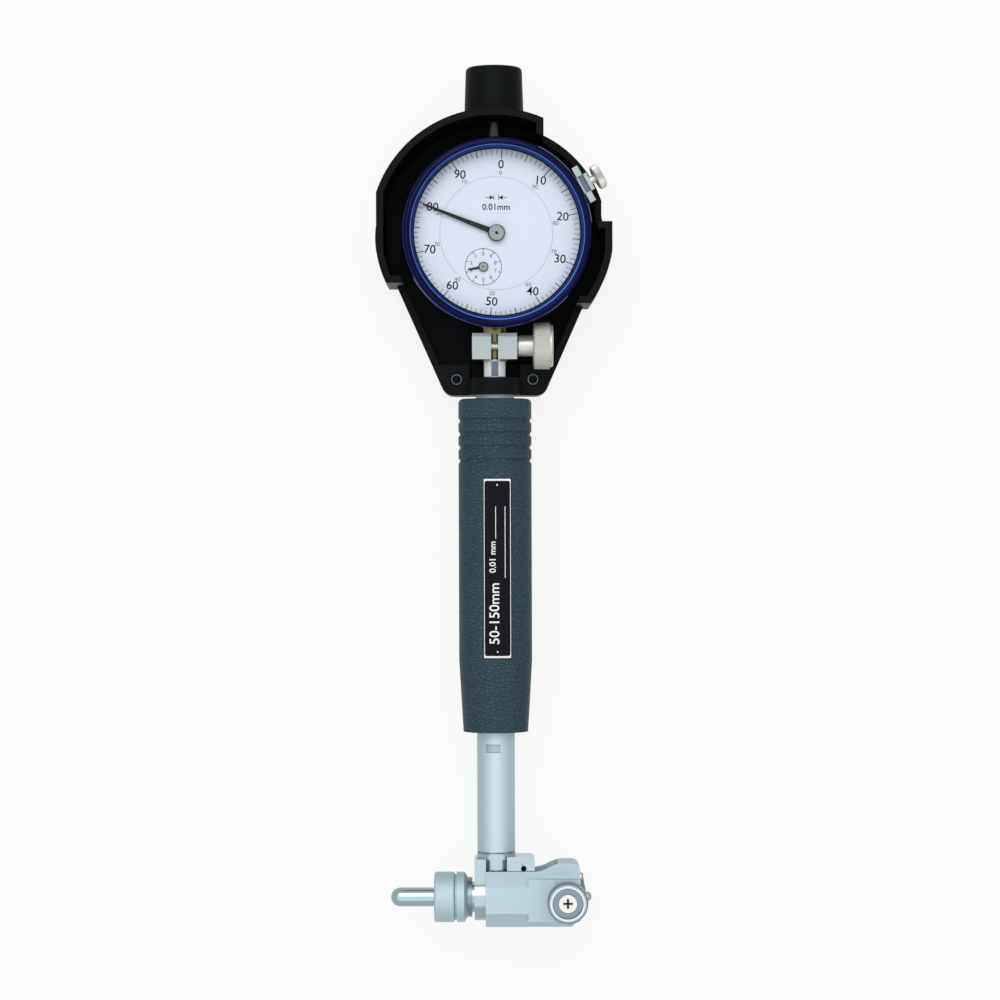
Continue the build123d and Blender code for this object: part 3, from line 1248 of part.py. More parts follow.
# Rollers, one on each side of the guide block
ROLLER_SECTION = Plane(
    origin=(ROLLER_X, MEASURE_Y, AXIS_Z), x_dir=(1, 0, 0), z_dir=(0, -1, 0)
)
ROLLER_AXIS = Axis((ROLLER_X, MEASURE_Y, AXIS_Z), (0, 0, 1))
roller_floor_h = ROLLER_END_H - ROLLER_RECESS
with BuildPart() as front_roller:
    with BuildSketch(ROLLER_SECTION):
        with BuildLine():
            Polyline(
                (ROLLER_BORE_R, ROLLER_START_H),
                (ROLLER_R - ROLLER_CHAMFER, ROLLER_START_H),
                (ROLLER_R, ROLLER_START_H + ROLLER_CHAMFER),
                (ROLLER_R, ROLLER_END_H - ROLLER_CHAMFER),
                (ROLLER_R - ROLLER_CHAMFER, ROLLER_END_H),
                (ROLLER_RECESS_R, ROLLER_END_H),
                (ROLLER_RECESS_R, roller_floor_h),
                (ROLLER_BORE_R, roller_floor_h),
                close=True,
            )
        make_face()
    revolve(axis=ROLLER_AXIS)
front_roller.part.label = "front_roller"
export_step(front_roller.part, "parts/front_roller.step")

with BuildPart() as rear_roller:
    add(mirror(front_roller.part, about=HEAD_SECTION))
rear_roller.part.label = "rear_roller"
export_step(rear_roller.part, "parts/rear_roller.step")

# Shoulder screws of the rollers, with a cross recess
with BuildPart() as front_screw:
    with BuildSketch(ROLLER_SECTION):
        with BuildLine():
            Polyline(
                (0, ARM_H - ROLLER_SCREW_LONG),
                (ROLLER_SCREW_R, ARM_H - ROLLER_SCREW_LONG),
                (ROLLER_SCREW_R, ARM_H),
                (ROLLER_BORE_R - RUN_FIT, ARM_H),
                (ROLLER_BORE_R - RUN_FIT, roller_floor_h + 2 * RUN_FIT),
                (ROLLER_SCREW_HEAD_R, roller_floor_h + 2 * RUN_FIT),
                (ROLLER_SCREW_HEAD_R, roller_floor_h + 2 * RUN_FIT + ROLLER_SCREW_HEAD_H),
                (0, roller_floor_h + 2 * RUN_FIT + ROLLER_SCREW_HEAD_H),
                close=True,
            )
        make_face()
    revolve(axis=ROLLER_AXIS)
    with BuildSketch(HEAD_SECTION.offset(roller_floor_h + 2 * RUN_FIT + ROLLER_SCREW_HEAD_H)):
        with Locations((ROLLER_X, 0)):
            Rectangle(CROSS_LONG, CROSS_WIDE)
            Rectangle(CROSS_WIDE, CROSS_LONG)
    extrude(amount=-CROSS_DEEP, mode=Mode.SUBTRACT)

with BuildPart() as roller_screws:
    add(front_screw.part)
    add(mirror(front_screw.part, about=HEAD_SECTION))
roller_screws.part.label = "roller_screws"
export_step(roller_screws.part, "parts/roller_screws.step")

# Wire clip on the end of the guide block
with BuildPart() as wire_clip:
    with BuildLine(HEAD_SECTION):
        FilletPolyline(
            (GUIDE_END_X, WIRE_TOP_Y),
            (GUIDE_END_X + WIRE_STEP, WIRE_TOP_Y),
            (WIRE_OUT_X, WIRE_OUT_Y),
            (GUIDE_END_X, WIRE_END_Y),
            radius=WIRE_BEND_R,
        )
    with BuildSketch(Plane(origin=(GUIDE_END_X, MEASURE_Y + WIRE_TOP_Y, AXIS_Z), z_dir=(1, 0, 0))):
        Circle(WIRE_R)
    sweep()
    # The foot is cut flush with the face it stands on
    with BuildSketch(HEAD_CROSS.offset(GUIDE_END_X)):
        Rectangle(2 * CREST_Y, 2 * CREST_Y)
    extrude(amount=-WIRE_STEP, mode=Mode.SUBTRACT)
wire_clip.part.label = "wire_clip"
export_step(wire_clip.part, "parts/wire_clip.step")

# Spacer washer on the far side of the barrel
spacer_bore_r = SPACER_SPIGOT_R + RUN_FIT
with BuildPart() as spacer_washer:
    with BuildSketch(HEAD_CROSS.offset(WASHER_START_X)):
        Circle(WASHER_R)
        Circle(spacer_bore_r, mode=Mode.SUBTRACT)
    extrude(amount=-WASHER_THICK)
spacer_washer.part.label = "spacer_washer"
export_step(spacer_washer.part, "parts/spacer_washer.step")

# Lock collar with a bevelled nose
with BuildPart() as lock_collar:
    with BuildSketch(HEAD_SECTION):
        with BuildLine():
            Polyline(
                (LOCK_COLLAR_START_X, spacer_bore_r),
                (LOCK_COLLAR_START_X, LOCK_COLLAR_NOSE_R),
                (LOCK_COLLAR_START_X - LOCK_COLLAR_NOSE, LOCK_COLLAR_R),
                (LOCK_COLLAR_END_X, LOCK_COLLAR_R),
                (LOCK_COLLAR_END_X, LOCK_GROOVE_R),
                (LOCK_COLLAR_END_X - LOCK_GROOVE, LOCK_GROOVE_R),
                (LOCK_COLLAR_END_X - LOCK_GROOVE, spacer_bore_r),
                close=True,
            )
        make_face()
    revolve(axis=HEAD_AXIS)
lock_collar.part.label = "lock_collar"
export_step(lock_collar.part, "parts/lock_collar.step")

# Lock nut over the flange of the anvil
anvil_flange_end_x = SPACER_SPIGOT_X - ANVIL_FLANGE_THICK
with BuildPart() as lock_nut:
    with BuildSketch(HEAD_SECTION) as nut_profile:
        with BuildLine():
            Polyline(
                (NUT_START_X, spacer_bore_r),
                (NUT_START_X, NUT_R),
                (NUT_END_X, NUT_R),
                (NUT_END_X, ANVIL_R + RUN_FIT),
                (anvil_flange_end_x - 2 * RUN_FIT, ANVIL_R + RUN_FIT),
                (anvil_flange_end_x - 2 * RUN_FIT, spacer_bore_r),
                close=True,
            )
        make_face()
        fillet(nut_profile.vertices().group_by(Axis.Y)[-1], radius=NUT_EDGE)
    revolve(axis=HEAD_AXIS)
lock_nut.part.label = "lock_nut"
export_step(lock_nut.part, "parts/lock_nut.step")

# Exchangeable anvil with a round tip
with BuildPart() as anvil:
    with BuildSketch(HEAD_SECTION):
        dome_x = ANVIL_TIP_X + ANVIL_R
        with BuildLine():
            Polyline(
                (ANVIL_TIP_X, 0),
                (ANVIL_ROOT_X, 0),
                (ANVIL_ROOT_X, ANVIL_R),
                (SPACER_SPIGOT_X, ANVIL_R),
                (SPACER_SPIGOT_X, SPACER_SPIGOT_R),
                (anvil_flange_end_x, SPACER_SPIGOT_R),
                (anvil_flange_end_x, ANVIL_NECK_R),
                (NUT_END_X - CLEAR, ANVIL_NECK_R),
                (NUT_END_X - CLEAR, ANVIL_R),
                (dome_x, ANVIL_R),
            )
            ThreePointArc(
                (dome_x, ANVIL_R),
                (dome_x - ANVIL_R * tip_cos, ANVIL_R * tip_cos),
                (ANVIL_TIP_X, 0),
            )
        make_face()
    revolve(axis=HEAD_AXIS)
anvil.part.label = "anvil"
export_step(anvil.part, "parts/anvil.step")
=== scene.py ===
"""A dial bore gauge on its back, dressed for a studio picture.

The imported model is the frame. This script gives its pieces their finishes, and adds what a
drawing office leaves to the maker's shop: printed dials, knurls, a printed label and a stage.
"""

import json
from math import atan2, cos, pi, radians, sin

import bmesh
import bpy
from bpy.props import FloatProperty, FloatVectorProperty, IntProperty, PointerProperty
from mathutils import Matrix, Vector


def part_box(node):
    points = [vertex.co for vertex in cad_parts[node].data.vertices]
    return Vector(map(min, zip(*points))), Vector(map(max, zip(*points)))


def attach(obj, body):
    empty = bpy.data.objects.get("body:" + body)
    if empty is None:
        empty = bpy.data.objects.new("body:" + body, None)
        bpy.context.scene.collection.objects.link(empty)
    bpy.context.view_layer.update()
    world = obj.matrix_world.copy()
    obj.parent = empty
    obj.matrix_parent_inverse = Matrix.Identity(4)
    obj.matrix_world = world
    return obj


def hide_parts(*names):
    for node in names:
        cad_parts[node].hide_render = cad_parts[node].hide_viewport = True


bl_info = {
    "name": "Dial bore gauge",
    "version": (1, 0, 0),
    "blender": (4, 5, 0),
    "location": "3D View > Sidebar > Bore gauge",
    "description": "Finishes, printed dials, knurls and stage of a dial bore gauge",
    "category": "Object",
}

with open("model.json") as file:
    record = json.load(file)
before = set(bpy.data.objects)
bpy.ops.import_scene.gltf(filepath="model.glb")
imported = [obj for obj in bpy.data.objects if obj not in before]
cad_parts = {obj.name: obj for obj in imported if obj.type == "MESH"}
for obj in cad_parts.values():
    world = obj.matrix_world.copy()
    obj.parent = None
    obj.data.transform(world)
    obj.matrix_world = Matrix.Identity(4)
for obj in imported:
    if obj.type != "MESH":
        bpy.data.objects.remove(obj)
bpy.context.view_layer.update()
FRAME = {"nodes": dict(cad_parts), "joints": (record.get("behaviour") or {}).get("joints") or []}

MM = 0.001
# Ink and other thin layers lie this high on the face that carries them
INK = 0.02 * MM


# Places, read from the frame

def joint_place(name):
    """The place of a joint: its origin on the joint's axis, and Z along that axis."""
    joint = next(j for j in FRAME["joints"] if j["name"] == name)
    turn = Vector((0, 0, 1)).rotation_difference(Vector(joint["axis"])).to_matrix().to_4x4()
    return Matrix.Translation(joint["pos_m"]) @ turn


def corners_from(place, node):
    """The corners of a CAD node, measured from a place."""
    return [place.inverted() @ vert.co for vert in FRAME["nodes"][node].data.vertices]


# The dial's middle on the stem's axis, with Z out of the dial. The indicator is turned a little
# in its clamp, about that axis.
FACE = joint_place("bezel_turn")
AXIS_Z = FACE.translation.z
DIAL_TOP = max(corner.z for corner in corners_from(FACE, "inner_dial"))
# The label plate is let into the grip a little to one side
LABEL_TURN = radians(3.4)
# The small numbers beside the wide ones at the dial's sides are moved round by these degrees
SMALL_NUMBER_SHIFTS = {20: -4.5, 30: 4.2, 70: -3.2, 80: 2.8}


# Sizes and colours

def millimetres(name, description, default):
    """A length, kept in millimetres."""
    return FloatProperty(
        name=name + " (mm)", description=description, default=default, min=0.0, precision=3,
    )


def colour(name, description, code):
    """A colour, given as its sRGB code."""
    return FloatVectorProperty(
        name=name, description=description, default=linear(code)[:3],
        subtype="COLOR", size=3, min=0.0, max=1.0,
    )


def linear(code):
    """The linear colour of an sRGB hex code."""
    parts = [int(code[i:i + 2], 16) / 255 for i in (1, 3, 5)]
    return [c / 12.92 if c <= 0.04045 else ((c + 0.055) / 1.055) ** 2.4 for c in parts] + [1.0]


class DialSizes(bpy.types.PropertyGroup):
    """Sizes and places of the printed marks on the dial."""

    tick_outer_r: millimetres("Tick start", "Radius where the ticks start", 24.9)
    tick_long: millimetres("Tick length", "Length of a tick", 1.75)
    tick_five_long: millimetres("Fives length", "Length of the ticks between the tens", 2.1)
    tick_ten_long: millimetres("Tens length", "Length of every tenth tick", 2.75)
    tick_wide: millimetres("Tick width", "Width of a tick", 0.16)
    tick_five_wide: millimetres("Fives width", "Width of every fifth tick", 0.24)
    number_r: millimetres("Number radius", "Radius of the middle of the large numbers", 20.4)
    number_high: millimetres("Number height", "Height of the large numbers", 2.3)
    number_weight: millimetres("Number weight", "How much the large numbers are thickened", 0.03)
    small_number_r: millimetres("Small number radius", "Radius of the small numbers", 17.95)
    small_number_high: millimetres("Small number height", "Height of the small numbers", 1.15)
    circle_r: millimetres("Gap radius", "Radius of the gap between the two dials", 16.68)
    line_wide: millimetres("Line width", "Width of the lines on the fixed dial", 0.16)
    counter_r: millimetres("Counter radius", "Radius of the turn counter's circle", 5.35)
    counter_number_high: millimetres("Counter height", "Height of the counter's numbers", 1.0)
    unit_high: millimetres("Unit height", "Height of the unit's figures", 1.65)
    unit_y: millimetres("Unit place", "Height of the unit above the dial's middle", 7.7)
    arrows_y: millimetres("Arrows place", "Height of the arrows above the dial's middle", 10.6)
    ring_turn: FloatProperty(
        name="Scale turn", description="How far the bezel and its scale are turned",
        default=radians(-4.1), subtype="ANGLE",
    )


class KnurlSizes(bpy.types.PropertyGroup):
    """Counts and depths of the knurls on the two knobs."""

    diamond_steps: IntProperty(
        name="Diamond points", description="Points of the diamond knurl round the knob, twice its peaks",
        default=80, min=8,
    )
    diamond_rows: IntProperty(
        name="Diamond rows", description="Rows of the diamond knurl along the knob", default=8, min=2
    )
    diamond_depth: millimetres("Diamond depth", "Depth of the diamond knurl", 0.21)
    teeth: IntProperty(name="Teeth", description="Teeth round the bezel clamp's disc", default=44, min=6)
    tooth_depth: millimetres("Tooth depth", "Depth of those teeth", 0.22)


class LabelSizes(bpy.types.PropertyGroup):
    """Sizes of the print on the label plate."""

    frame: millimetres("Frame", "Width of the white frame at the plate's ends", 0.8)
    field_wide: millimetres("Field width", "Width of the black field", 7.6)
    range_high: millimetres("Range height", "Height of the range numbers", 2.7)
    small_high: millimetres("Small height", "Height of the small numbers", 1.7)
    weight: millimetres("Print weight", "How much the print is thickened", 0.04)
    line_wide: millimetres("Line width", "Width of the printed lines and of the dark edge", 0.2)


class FinishColours(bpy.types.PropertyGroup):
    """Colours of the gauge's finishes."""

    guard: colour("Guard", "Moulded plastic of the guard", "#121517")
    grip: colour("Grip", "Grained plastic of the grip", "#3f545f")
    bezel: colour("Bezel", "Anodised aluminium of the bezel", "#05082c")
    # The bezel's slope, the line at its corner and its outer edge are painted highlights: paler dyes
    # laid on as rings
    bezel_slope: colour("Bezel slope", "Bezel's inner slope, cut after the dye", "#1e3064")
    bezel_line: colour("Bezel line", "Bright line where the slope meets the crown", "#34508c")
    bezel_edge: colour("Bezel edge", "Thin outer edge of the bezel", "#1d2272")
    dial: colour("Dial", "Painted face of the dial", "#e9f1fc")
    # Painted shade: the faint circle laid over the gap between the two dials
    ring_ink: colour("Dial ring", "Faint circle between the two dials", "#ccd5e0")
    ink: colour("Ink", "Printed marks and numbers", "#101216")
    pale_ink: colour("Pale ink", "Printed small numbers", "#6d7682")
    pointer: colour("Pointer", "Painted pointers", "#1f211a")
    cap: colour("Pointer cap", "Brushed caps of the pointers", "#767c7a")
    satin: colour("Satin chrome", "Satin chrome of the tube, the guide and the nut", "#abbcc2")
    steel: colour("Steel", "Ground steel of the head, the anvil and the tip", "#95a4aa")
    # The rollers' faces and the spacer washer are painted darker as shade, and the rollers' rims paler
    # as a painted highlight
    roller: colour("Rollers", "Hard steel of the rollers' faces", "#6f7c86")
    chrome: colour("Roller rims", "Polished rims of the rollers", "#b6bfc3")
    nickel: colour("Clamps", "Satin nickel of the clamps", "#858e90")
    # Painted highlight: the pale patches on the stem clamp's bevels and on its sleeve's sides
    blasted: colour("Clamp bevels", "Blasted bevels and sleeve of the stem clamp", "#eef3f3")
    # Painted shade: the bar in the bezel clamp's trough and the dark reflection down the stem clamp's
    # sleeve; also the dark joint at the tube's end
    shade: colour("Clamp hollows", "Darker nickel in the clamps' hollows", "#525a64")
    bright_nickel: colour("Knobs", "Bright nickel of the knobs", "#bdbeb8")
    label: colour("Label", "Anodised field of the label plate", "#0f1019")
    print_white: colour("Label print", "White print on the label plate", "#fafbfc")
    # Painted shade: the flat on the tube and the darker lines along its edges
    engraving: colour("Engraving", "Shaded edges of the small flat on the tube", "#8da2ab")
    flat: colour("Tube flat", "Scraped flat on the tube", "#8d9ca2")
    brass: colour("Stem", "Warm tint of the stem in the clamp's slit", "#666147")
    screw: colour("Screws", "Blackened steel of the small screws", "#0e1012")
    # Painted highlight: the paler ring where the light catches the screws' chamfered rims
    worn: colour("Worn rims", "Rims of the guard's screws, worn to the steel", "#4c5458")
    cap_black: colour("Spindle cap", "Black gloss cap on the spindle's end", "#0d0f12")
    spring: colour("Springs", "Oiled steel of the springs and inner pieces", "#8d8a80")


class StageSizes(bpy.types.PropertyGroup):
    """The camera and the lamps."""

    camera_height: FloatProperty(
        name="Camera height", description="Height of the camera above the floor",
        default=0.968, unit="LENGTH",
    )
    lens: FloatProperty(
        name="Lens", description="Focal length of the camera", default=114.0, unit="CAMERA",
    )
    key_power: FloatProperty(
        name="Key lamp", description="Power of the lamp beyond the cap's end",
        default=9.0, unit="POWER",
    )
    overhead_power: FloatProperty(
        name="Overhead lamp", description="Power of the large lamp straight above the gauge",
        default=13.0, unit="POWER",
    )
    world_strength: FloatProperty(
        name="Surroundings", description="Strength of the plain surroundings", default=0.3,
    )
    floor_glow: FloatProperty(
        name="Floor glow", description="Share of the floor's white that no shadow darkens",
        default=0.85, min=0.0, max=1.0, subtype="FACTOR",
    )


# Materials

def add_node(owner, kind, inputs=None, **settings):
    """Adds a node to a material or world with its settings, and sets or links its inputs."""
    tree = owner.node_tree
    node = tree.nodes.new(kind)
    for name, value in settings.items():
        setattr(node, name, value)
    for name, value in (inputs or {}).items():
        if isinstance(value, bpy.types.NodeSocket):
            tree.links.new(value, node.inputs[name])
        else:
            node.inputs[name].default_value = value
    return node


def new_material(name):
    """An empty node material, with the output still to be linked."""
    material = bpy.data.materials.new(name)
    material.use_nodes = True
    material.node_tree.nodes.clear()
    return material


def finish_surface(material, shader):
    """Links a shader to the material's output."""
    add_node(material, "ShaderNodeOutputMaterial", {"Surface": shader.outputs[0]})
    return material


def rgba(values):
    """A property's colour with full opacity."""
    return [*values, 1.0]


def seen_rays(owner):
    """1 for a ray from the camera or through glossy or clear pieces, and 0 for soft light."""
    rays = add_node(owner, "ShaderNodeLightPath").outputs
    mirrored = add_node(
        owner, "ShaderNodeMath", {0: rays["Is Glossy Ray"], 1: rays["Is Transmission Ray"]},
        operation="MAXIMUM",
    )
    seen = add_node(
        owner, "ShaderNodeMath", {0: rays["Is Camera Ray"], 1: mirrored.outputs[0]},
        operation="MAXIMUM",
    )
    return seen.outputs[0]


def moulded_plastic(name, base, grit, bump, rough):
    """ABS from a fine spark-eroded mould: nearly black, with a soft broken gloss."""
    material = new_material(name)
    place = add_node(material, "ShaderNodeTexCoord").outputs["Object"]
    # The mould's grit is about 0.05 mm, and is drawn as coarse as it needs to show
    grain = add_node(
        material, "ShaderNodeTexNoise", {"Vector": place, "Scale": 1 / (grit * MM), "Detail": 2.0}
    )
    relief = add_node(
        material, "ShaderNodeBump",
        {"Height": grain.outputs["Fac"], "Strength": bump, "Distance": 0.02 * MM},
    )
    # Hands have rubbed it shinier in patches about 17 mm across
    wear = add_node(material, "ShaderNodeTexNoise", {"Vector": place, "Scale": 60.0, "Detail": 3.0})
    gloss = add_node(
        material, "ShaderNodeMapRange",
        {"Value": wear.outputs["Fac"], "To Min": rough - 0.06, "To Max": rough + 0.06},
    )
    shader = add_node(
        material, "ShaderNodeBsdfPrincipled",
        {
            "Base Color": rgba(base), "Roughness": gloss.outputs[0],
            "Normal": relief.outputs[0], "IOR": 1.46, "Specular IOR Level": 0.04,
        },
    )
    return finish_surface(material, shader)


def grained_plastic(name, base):
    """Soft moulded plastic with a leather grain and a dull sheen, with painted highlight on its crests
    and painted shade in its creases.
    """
    material = new_material(name)
    place = add_node(material, "ShaderNodeTexCoord").outputs["Object"]
    # The grain's cells are about 1.3 mm. Creases run a little more across the grip than along
    # it, and a drift bends them by up to 0.6 mm.
    stretch = add_node(
        material, "ShaderNodeMapping", {"Vector": place, "Scale": (0.8, 1.25, 0.8)}
    )
    drift = add_node(
        material, "ShaderNodeTexNoise",
        {"Vector": stretch.outputs[0], "Scale": 1 / (1.6 * MM), "Detail": 2.0},
    )
    bend = add_node(
        material, "ShaderNodeMix",
        {4: stretch.outputs[0], 5: drift.outputs["Color"], "Factor": 0.6 * MM},
        data_type="VECTOR",
    )
    cells = add_node(
        material, "ShaderNodeTexVoronoi",
        {"Vector": bend.outputs[1], "Scale": 1 / (1.3 * MM), "Randomness": 1.0},
        feature="DISTANCE_TO_EDGE",
    )
    crease = add_node(
        material, "ShaderNodeMapRange",
        {"Value": cells.outputs["Distance"], "From Max": 0.22},
    )
    relief = add_node(
        material, "ShaderNodeBump",
        {"Height": crease.outputs[0], "Strength": 1.0, "Distance": 0.22 * MM},
    )
    # The creases are painted darker and the crests paler: painted shade and highlight
    shade = add_node(
        material, "ShaderNodeMix",
        {
            "Factor": crease.outputs[0],
            6: [c * 0.8 for c in base] + [1.0],
            7: [min(1.0, c * 1.08) for c in base] + [1.0],
        },
        data_type="RGBA",
    )
    shader = add_node(
        material, "ShaderNodeBsdfPrincipled",
        {
            "Base Color": shade.outputs[2], "Roughness": 0.36, "IOR": 1.46, "Specular IOR Level": 0.05,
            "Normal": relief.outputs[0],
        },
    )
    return finish_surface(material, shader)


def turned_metal(name, base, rough, line=0.1, bump=0.05, axis="Y", metallic=1.0):
    """Ground or turned metal: fine lines round the axis, which spread its highlights."""
    material = new_material(name)
    place = add_node(material, "ShaderNodeTexCoord").outputs["Object"]
    # Long thin noise: its lines stand a few hundredths of a millimetre apart on the real piece,
    # and are drawn as coarse as they need to show
    stretch = 12.0
    scale = {"X": (stretch, 1, 1), "Y": (1, stretch, 1), "Z": (1, 1, stretch)}[axis]
    along = add_node(material, "ShaderNodeMapping", {"Vector": place, "Scale": scale})
    lines = add_node(
        material, "ShaderNodeTexNoise",
        {"Vector": along.outputs[0], "Scale": 1 / (line * stretch * MM), "Detail": 3.0},
    )
    relief = add_node(
        material, "ShaderNodeBump",
        {"Height": lines.outputs["Fac"], "Strength": bump, "Distance": 0.01 * MM},
    )
    # Its gloss differs a little between patches about 11 mm across
    cloud = add_node(material, "ShaderNodeTexNoise", {"Vector": place, "Scale": 90.0, "Detail": 2.0})
    gloss = add_node(
        material, "ShaderNodeMapRange",
        {"Value": cloud.outputs["Fac"], "To Min": rough - 0.04, "To Max": rough + 0.04},
    )
    shader = add_node(
        material, "ShaderNodeBsdfPrincipled",
        {
            "Base Color": rgba(base), "Metallic": metallic, "Roughness": gloss.outputs[0],
            "Normal": relief.outputs[0],
        },
    )
    return finish_surface(material, shader)


def anodised_aluminium(name, base, rough):
    """Dyed anodised aluminium: a deep metallic colour under a thin hard clear layer."""
    material = new_material(name)
    place = add_node(material, "ShaderNodeTexCoord").outputs["Object"]
    # The etched grain under the dye is finer than 0.1 mm, and is drawn at 0.25 mm to show
    grain = add_node(
        material, "ShaderNodeTexNoise", {"Vector": place, "Scale": 1 / (0.25 * MM), "Detail": 2.0}
    )
    gloss = add_node(
        material, "ShaderNodeMapRange",
        {"Value": grain.outputs["Fac"], "To Min": rough - 0.03, "To Max": rough + 0.03},
    )
    shader = add_node(
        material, "ShaderNodeBsdfPrincipled",
        {
            "Base Color": rgba(base), "Metallic": 1.0, "Roughness": gloss.outputs[0],
            "Coat Weight": 0.1, "Coat Roughness": 0.06,
        },
    )
    return finish_surface(material, shader)


def painted_metal(name, base, rough, bump=0.05, shine=0.25):
    """Even stove enamel or ink on metal, with a faint unevenness in its gloss."""
    material = new_material(name)
    place = add_node(material, "ShaderNodeTexCoord").outputs["Object"]
    # The coat flows together in swells about 0.4 mm across
    grain = add_node(
        material, "ShaderNodeTexNoise", {"Vector": place, "Scale": 1 / (0.4 * MM), "Detail": 2.0}
    )
    relief = add_node(
        material, "ShaderNodeBump",
        {"Height": grain.outputs["Fac"], "Strength": bump, "Distance": 0.01 * MM},
    )
    gloss = add_node(
        material, "ShaderNodeMapRange",
        {"Value": grain.outputs["Fac"], "To Min": rough - 0.04, "To Max": rough + 0.04},
    )
    shader = add_node(
        material, "ShaderNodeBsdfPrincipled",
        {
            "Base Color": rgba(base), "Roughness": gloss.outputs[0],
            "Normal": relief.outputs[0], "Specular IOR Level": shine,
        },
    )
    return finish_surface(material, shader)


def clear_acrylic(name):
    """Cast acrylic crystal: the light passes straight through, and its edge-on gloss stays."""
    material = new_material(name)
    # The gloss grows with the fifth power of the tilt, the same on both sides of the crystal
    facing = add_node(material, "ShaderNodeLayerWeight", {"Blend": 0.5}).outputs["Facing"]
    edge = add_node(material, "ShaderNodeMath", {0: facing, 1: 5.0}, operation="POWER")
    tilt = add_node(
        material, "ShaderNodeMath", {0: edge.outputs[0], 1: 0.8, 2: 0.003}, operation="MULTIPLY_ADD"
    )
    clear = add_node(material, "ShaderNodeBsdfTransparent", {"Color": (0.985, 0.99, 1.0, 1.0)})
    gloss = add_node(material, "ShaderNodeBsdfGlossy", {"Roughness": 0.04})
    shader = add_node(
        material, "ShaderNodeMixShader",
        {"Fac": tilt.outputs[0], 1: clear.outputs[0], 2: gloss.outputs[0]},
    )
    return finish_surface(material, shader)


# Pieces

def give(nodes, material):
    """Gives a material to CAD nodes, in place of the one they came with."""
    for name in nodes:
        slots = FRAME["nodes"][name].data.materials
        slots.clear()
        slots.append(material)


def add_piece(name, bm, material, body):
    """Turns a bmesh into a piece with crisp faces that rides on a body."""
    mesh = bpy.data.meshes.new(name)
    bm.to_mesh(mesh)
    bm.free()
    mesh.materials.append(material)
    mesh.polygons.foreach_set("use_smooth", [False] * len(mesh.polygons))
    piece = bpy.data.objects.new(name, mesh)
    bpy.context.scene.collection.objects.link(piece)
    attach(piece, body)
    return piece


def add_bar(bm, place, long, wide):
    """A flat printed bar in the middle of a place, its length along X."""
    bmesh.ops.create_grid(
        bm, x_segments=1, y_segments=1, size=0.5,
        matrix=place @ Matrix.Diagonal((long, wide, 1, 1)),
    )


def add_ring_line(bm, place, radius, wide, segments=96):
    """A flat printed circle."""
    bmesh.ops.create_circle(bm, cap_ends=False, segments=segments, radius=radius, matrix=place)
    bare = [edge for edge in bm.edges if not edge.link_faces]
    made = bmesh.ops.extrude_edge_only(bm, edges=bare)["geom"]
    rim = [v for v in made if isinstance(v, bmesh.types.BMVert)]
    factor = (radius + wide) / radius
    bmesh.ops.scale(bm, vec=(factor, factor, 1), space=place.inverted(), verts=rim)


def add_words(bm, words, high, place, weight=0.0):
    """Printed words, centred on a place, with digits of that height, thickened by the weight."""
    curve = bpy.data.curves.new("words", "FONT")
    curve.body = words
    curve.align_x = "CENTER"
    curve.align_y = "CENTER"
    curve.resolution_u = 4
    # The digits of the plain font are 0.64 of its size
    curve.size = high / 0.64
    curve.offset = weight
    holder = bpy.data.objects.new("words", curve)
    bpy.context.scene.collection.objects.link(holder)
    bpy.context.view_layer.update()
    mesh = bpy.data.meshes.new_from_object(
        holder.evaluated_get(bpy.context.evaluated_depsgraph_get())
    )
    mesh.transform(place)
    bm.from_mesh(mesh)
    bpy.data.objects.remove(holder)
    bpy.data.curves.remove(curve)
    bpy.data.meshes.remove(mesh)


def on_dial(x, y, turn=0.0):
    """A place on the dial's face, in millimetres from its middle."""
    return (
        FACE @ Matrix.Translation((x * MM, y * MM, DIAL_TOP + INK)) @ Matrix.Rotation(turn, 4, "Z")
    )


def wrapped_patch(bm, radius, x, y, long, high):
    """A thin patch laid round the stem's axis."""
    patch = bmesh.ops.create_grid(
        bm, x_segments=16, y_segments=1, size=0.5,
        matrix=Matrix.Translation((x, y, 0)) @ Matrix.Diagonal((long, high, 1, 1)),
    )["verts"]
    for vert in patch:
        around = vert.co.x / radius
        vert.co.x = radius * sin(around)
        vert.co.z = AXIS_Z + radius * cos(around)


def spin_profile(bm, place, profile, steps):
    """Turns a profile of (height, radius) points, in millimetres, round a place's Z axis."""
    verts = [bm.verts.new(place @ Vector((radius * MM, 0, high * MM))) for high, radius in profile]
    edges = [bm.edges.new(pair) for pair in zip(verts, verts[1:])]
    bmesh.ops.spin(
        bm, geom=verts + edges, cent=place.translation, axis=place.col[2].xyz, dvec=(0, 0, 0),
        angle=2 * pi, steps=steps, use_merge=True, use_duplicate=False,
    )
    bmesh.ops.remove_doubles(bm, verts=bm.verts, dist=0.001 * MM)
    bmesh.ops.recalc_face_normals(bm, faces=bm.faces)


def press_knurl(bm, place, radius, steps, depth, row_of):
    """Presses every second point of a spun band towards its axis, and returns those points.

    The steps are even in number, and count round the axis. The rows count along it.
    """
    valleys = []
    for vert in bm.verts:
        local = place.inverted() @ vert.co / MM
        step = round(atan2(local.y, local.x) * steps / (2 * pi))
        if local.to_2d().length > radius - 0.1 and (step + row_of(local.z)) % 2:
            valleys.append(vert)
    factor = 1 - depth / radius
    bmesh.ops.scale(bm, vec=(factor, factor, 1), space=place.inverted(), verts=valleys)
    return set(valleys)


# Operators: one for each group of pieces

